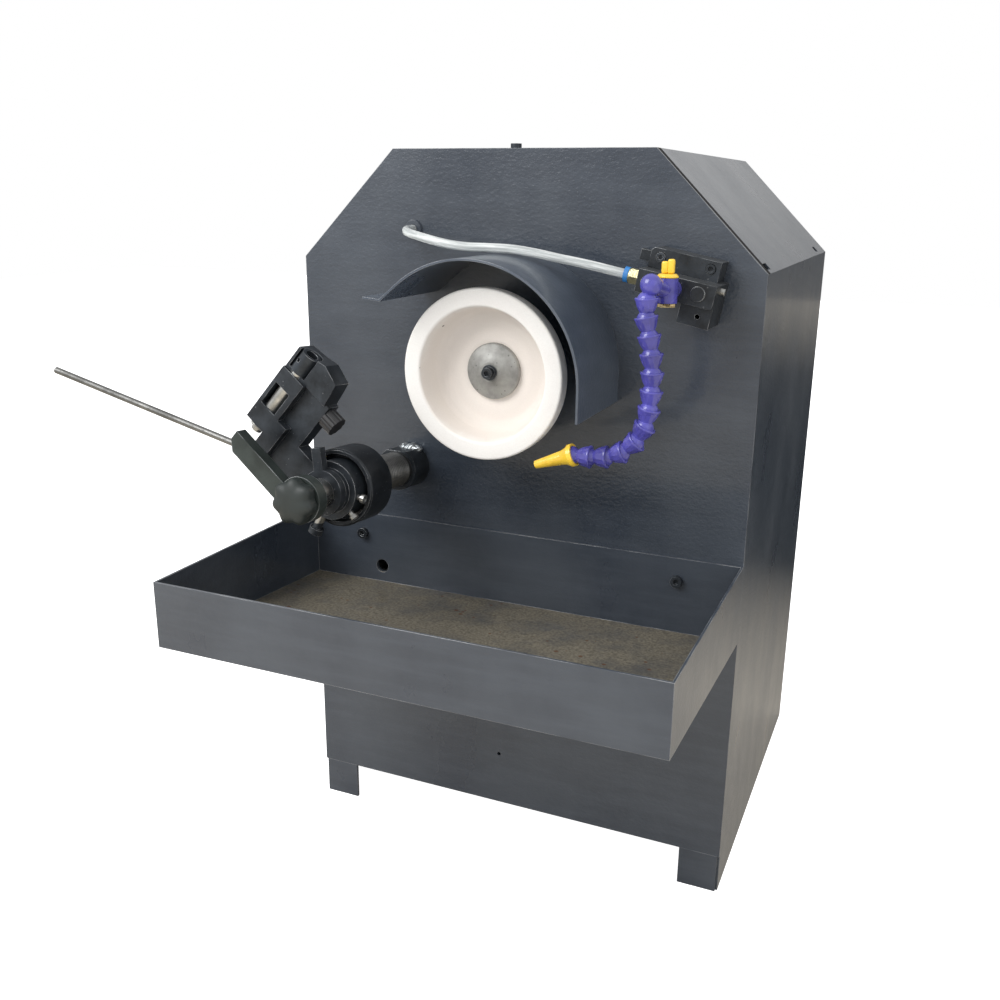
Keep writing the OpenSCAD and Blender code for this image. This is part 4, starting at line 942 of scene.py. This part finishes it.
class SHARPENER_OT_supply_hose(bpy.types.Operator):
    """Clear hose from the panel to the push-in fitting"""
    bl_idname = "sharpener.supply_hose"
    bl_label = "Clear hose"

    def execute(self, context):
        points = [Vector((x, PANEL_Y - out, z)) * MM for x, z, out in HOSE_ROUTE]
        curve = bpy.data.curves.new("hose_line", "CURVE")
        curve.dimensions = "3D"
        curve.bevel_depth = sizes().hose_diameter / 2
        curve.bevel_resolution = 6
        curve.use_fill_caps = True
        curve.resolution_u = 6
        spline = curve.splines.new("BEZIER")
        spline.bezier_points.add(len(points) - 1)
        for knot, point in zip(spline.bezier_points, points):
            knot.co = point
            knot.handle_left_type = knot.handle_right_type = "AUTO"
        line = bpy.data.objects.new("clear_hose", curve)
        bpy.context.scene.collection.objects.link(line)
        curve.materials.append(finish_named("tube"))
        bpy.context.view_layer.update()
        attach(line, "root")
        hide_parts("supply_hose")
        return {"FINISHED"}


# ---- Stage ----

CAMERA_AT = (0.3651, -1.0850, 0.6640)
CAMERA_TURN = (23.1426, 16.704, 0.6674)
CAMERA_LENS = 37.135
# Name, place, watts and width of each lamp, and the point that they face.
LAMPS = (
    ("key_lamp", (-1.1, -1.7, 1.9), 40.0, 1.4),
    ("right_lamp", (1.9, -0.9, 1.2), 3.0, 1.4),
)
LAMP_AIM = (0.0, -0.1, 0.45)
# The floor as it is, and as it shows in reflections before and behind the machine.
FLOOR = (0.72, 0.72, 0.72, 1.0)
FLOOR_MIRRORED = (0.80, 0.73, 0.62, 1.0)
FLOOR_BEHIND = (0.012, 0.014, 0.015, 1.0)
WHITE = (1.0, 1.0, 1.0, 1.0)
# Strength of the surroundings in diffuse light and in reflections, high up and low behind.
SKY_DIFFUSE, SKY_MIRRORED, SKY_LOW = 0.95, 0.85, 0.14


class SHARPENER_OT_stage(bpy.types.Operator):
    """Camera, floor, soft lamps and pale surroundings"""
    bl_idname = "sharpener.stage"
    bl_label = "Stage"

    def execute(self, context):
        scene = context.scene
        scene.view_settings.view_transform = "Standard"
        self.camera(scene)
        self.floor(scene)
        self.surroundings(scene)
        for lamp in LAMPS:
            self.lamp(scene, *lamp)
        return {"FINISHED"}

    def camera(self, scene):
        yaw, pitch, roll = (math.radians(a) for a in CAMERA_TURN)
        ahead = Vector((-math.sin(yaw) * math.cos(pitch), math.cos(yaw) * math.cos(pitch),
                        -math.sin(pitch)))
        level = Vector((math.cos(yaw), math.sin(yaw), 0.0))
        up = level.cross(ahead)
        right = math.cos(roll) * level + math.sin(roll) * up
        top = -math.sin(roll) * level + math.cos(roll) * up
        rows = [list(row) + [at] for row, at in zip(zip(right, top, -ahead), CAMERA_AT)]
        data = bpy.data.cameras.new("view_camera")
        data.lens = CAMERA_LENS
        data.sensor_width = 36.0
        data.clip_start = 0.01
        data.clip_end = 50.0
        camera = bpy.data.objects.new("view_camera", data)
        camera.matrix_world = Matrix(rows + [[0, 0, 0, 1]])
        scene.collection.objects.link(camera)
        scene.camera = camera

    def floor(self, scene):
        bm = bmesh.new()
        bmesh.ops.create_grid(bm, x_segments=1, y_segments=1, size=6.0)
        mesh = bpy.data.meshes.new("floor")
        bm.to_mesh(mesh)
        bm.free()
        floor = bpy.data.objects.new("floor", mesh)
        scene.collection.objects.link(floor)
        material = bpy.data.materials.new("Pale floor")
        material.use_nodes = True
        tree = material.node_tree
        shader = tree.nodes["Principled BSDF"]
        shader.inputs["Roughness"].default_value = 0.9
        shader.inputs["Specular IOR Level"].default_value = 0.1
        shader.inputs["Emission Color"].default_value = WHITE
        path = put(tree, "ShaderNodeLightPath")
        back = axes_of(tree, place_in(tree))["Y"]
        behind = calc(tree, "MULTIPLY", fit_range(tree, back, 0.22, 0.80),
                      fit_range(tree, back, 3.0, 5.5, 1.0, 0.35))
        mirrored = blend(tree, behind, FLOOR_MIRRORED, FLOOR_BEHIND)
        tone = blend(tree, path.outputs["Is Glossy Ray"], FLOOR, mirrored)
        tree.links.new(tone, shader.inputs["Base Color"])
        tree.links.new(path.outputs["Is Camera Ray"], shader.inputs["Emission Strength"])
        mesh.materials.append(material)

    def surroundings(self, scene):
        world = bpy.data.worlds.new("pale_surroundings")
        scene.world = world
        world.use_nodes = True
        tree = world.node_tree
        sky = tree.nodes["Background"]
        path = put(tree, "ShaderNodeLightPath")
        seen = calc(tree, "MAXIMUM", path.outputs["Is Camera Ray"],
                    path.outputs["Is Transmission Ray"])
        toward = put(tree, "ShaderNodeTexCoord").outputs["Generated"]
        axes = axes_of(tree, toward)
        behind = fit_range(tree, axes["Y"], -0.2, 0.3)
        dim = calc(tree, "MULTIPLY", behind, fit_range(tree, axes["Z"], 0.25, 0.02))
        mirrored = fit_range(tree, dim, 0.0, 1.0, SKY_MIRRORED, SKY_LOW)
        level = fit_range(tree, path.outputs["Is Glossy Ray"], 0.0, 1.0, SKY_DIFFUSE, mirrored)
        level = calc(tree, "MAXIMUM", level, seen)
        tree.links.new(level, sky.inputs["Strength"])
        sky.inputs["Color"].default_value = WHITE

    def lamp(self, scene, name, at, power, size):
        data = bpy.data.lights.new(name, "AREA")
        data.energy = power
        data.size = size
        lamp = bpy.data.objects.new(name, data)
        turn = (Vector(LAMP_AIM) - Vector(at)).to_track_quat("-Z", "Y")
        lamp.matrix_world = Matrix.Translation(at) @ turn.to_matrix().to_4x4()
        scene.collection.objects.link(lamp)


class SHARPENER_PT_panel(bpy.types.Panel):
    """Lists the sharpener's operators and settings"""
    bl_idname = "SHARPENER_PT_panel"
    bl_label = "Wet grinding sharpener"
    bl_space_type = "VIEW_3D"
    bl_region_type = "UI"
    bl_category = "Sharpener"

    def draw(self, context):
        for operator in OPERATORS:
            self.layout.operator(operator.bl_idname)
        for group in (context.scene.sharpener_sizes, context.scene.sharpener_colours):
            for key in group.__annotations__:
                self.layout.prop(group, key)


OPERATORS = [
    SHARPENER_OT_stage, SHARPENER_OT_supply_hose, SHARPENER_OT_finishes, SHARPENER_OT_wheel,
    SHARPENER_OT_arm_pieces, SHARPENER_OT_tap, SHARPENER_OT_hose_bells,
]
CLASSES = [SharpenerSizes, SharpenerColours] + OPERATORS + [SHARPENER_PT_panel]


def register():
    for cls in CLASSES:
        bpy.utils.register_class(cls)
    bpy.types.Scene.sharpener_sizes = bpy.props.PointerProperty(type=SharpenerSizes)
    bpy.types.Scene.sharpener_colours = bpy.props.PointerProperty(type=SharpenerColours)


def unregister():
    del bpy.types.Scene.sharpener_colours
    del bpy.types.Scene.sharpener_sizes
    for cls in reversed(CLASSES):
        bpy.utils.unregister_class(cls)


def main():
    register()
    for operator in OPERATORS:
        group, name = operator.bl_idname.split(".")
        getattr(getattr(bpy.ops, group), name)()
    bpy.context.view_layer.update()


if __name__ == "__main__":
    main()
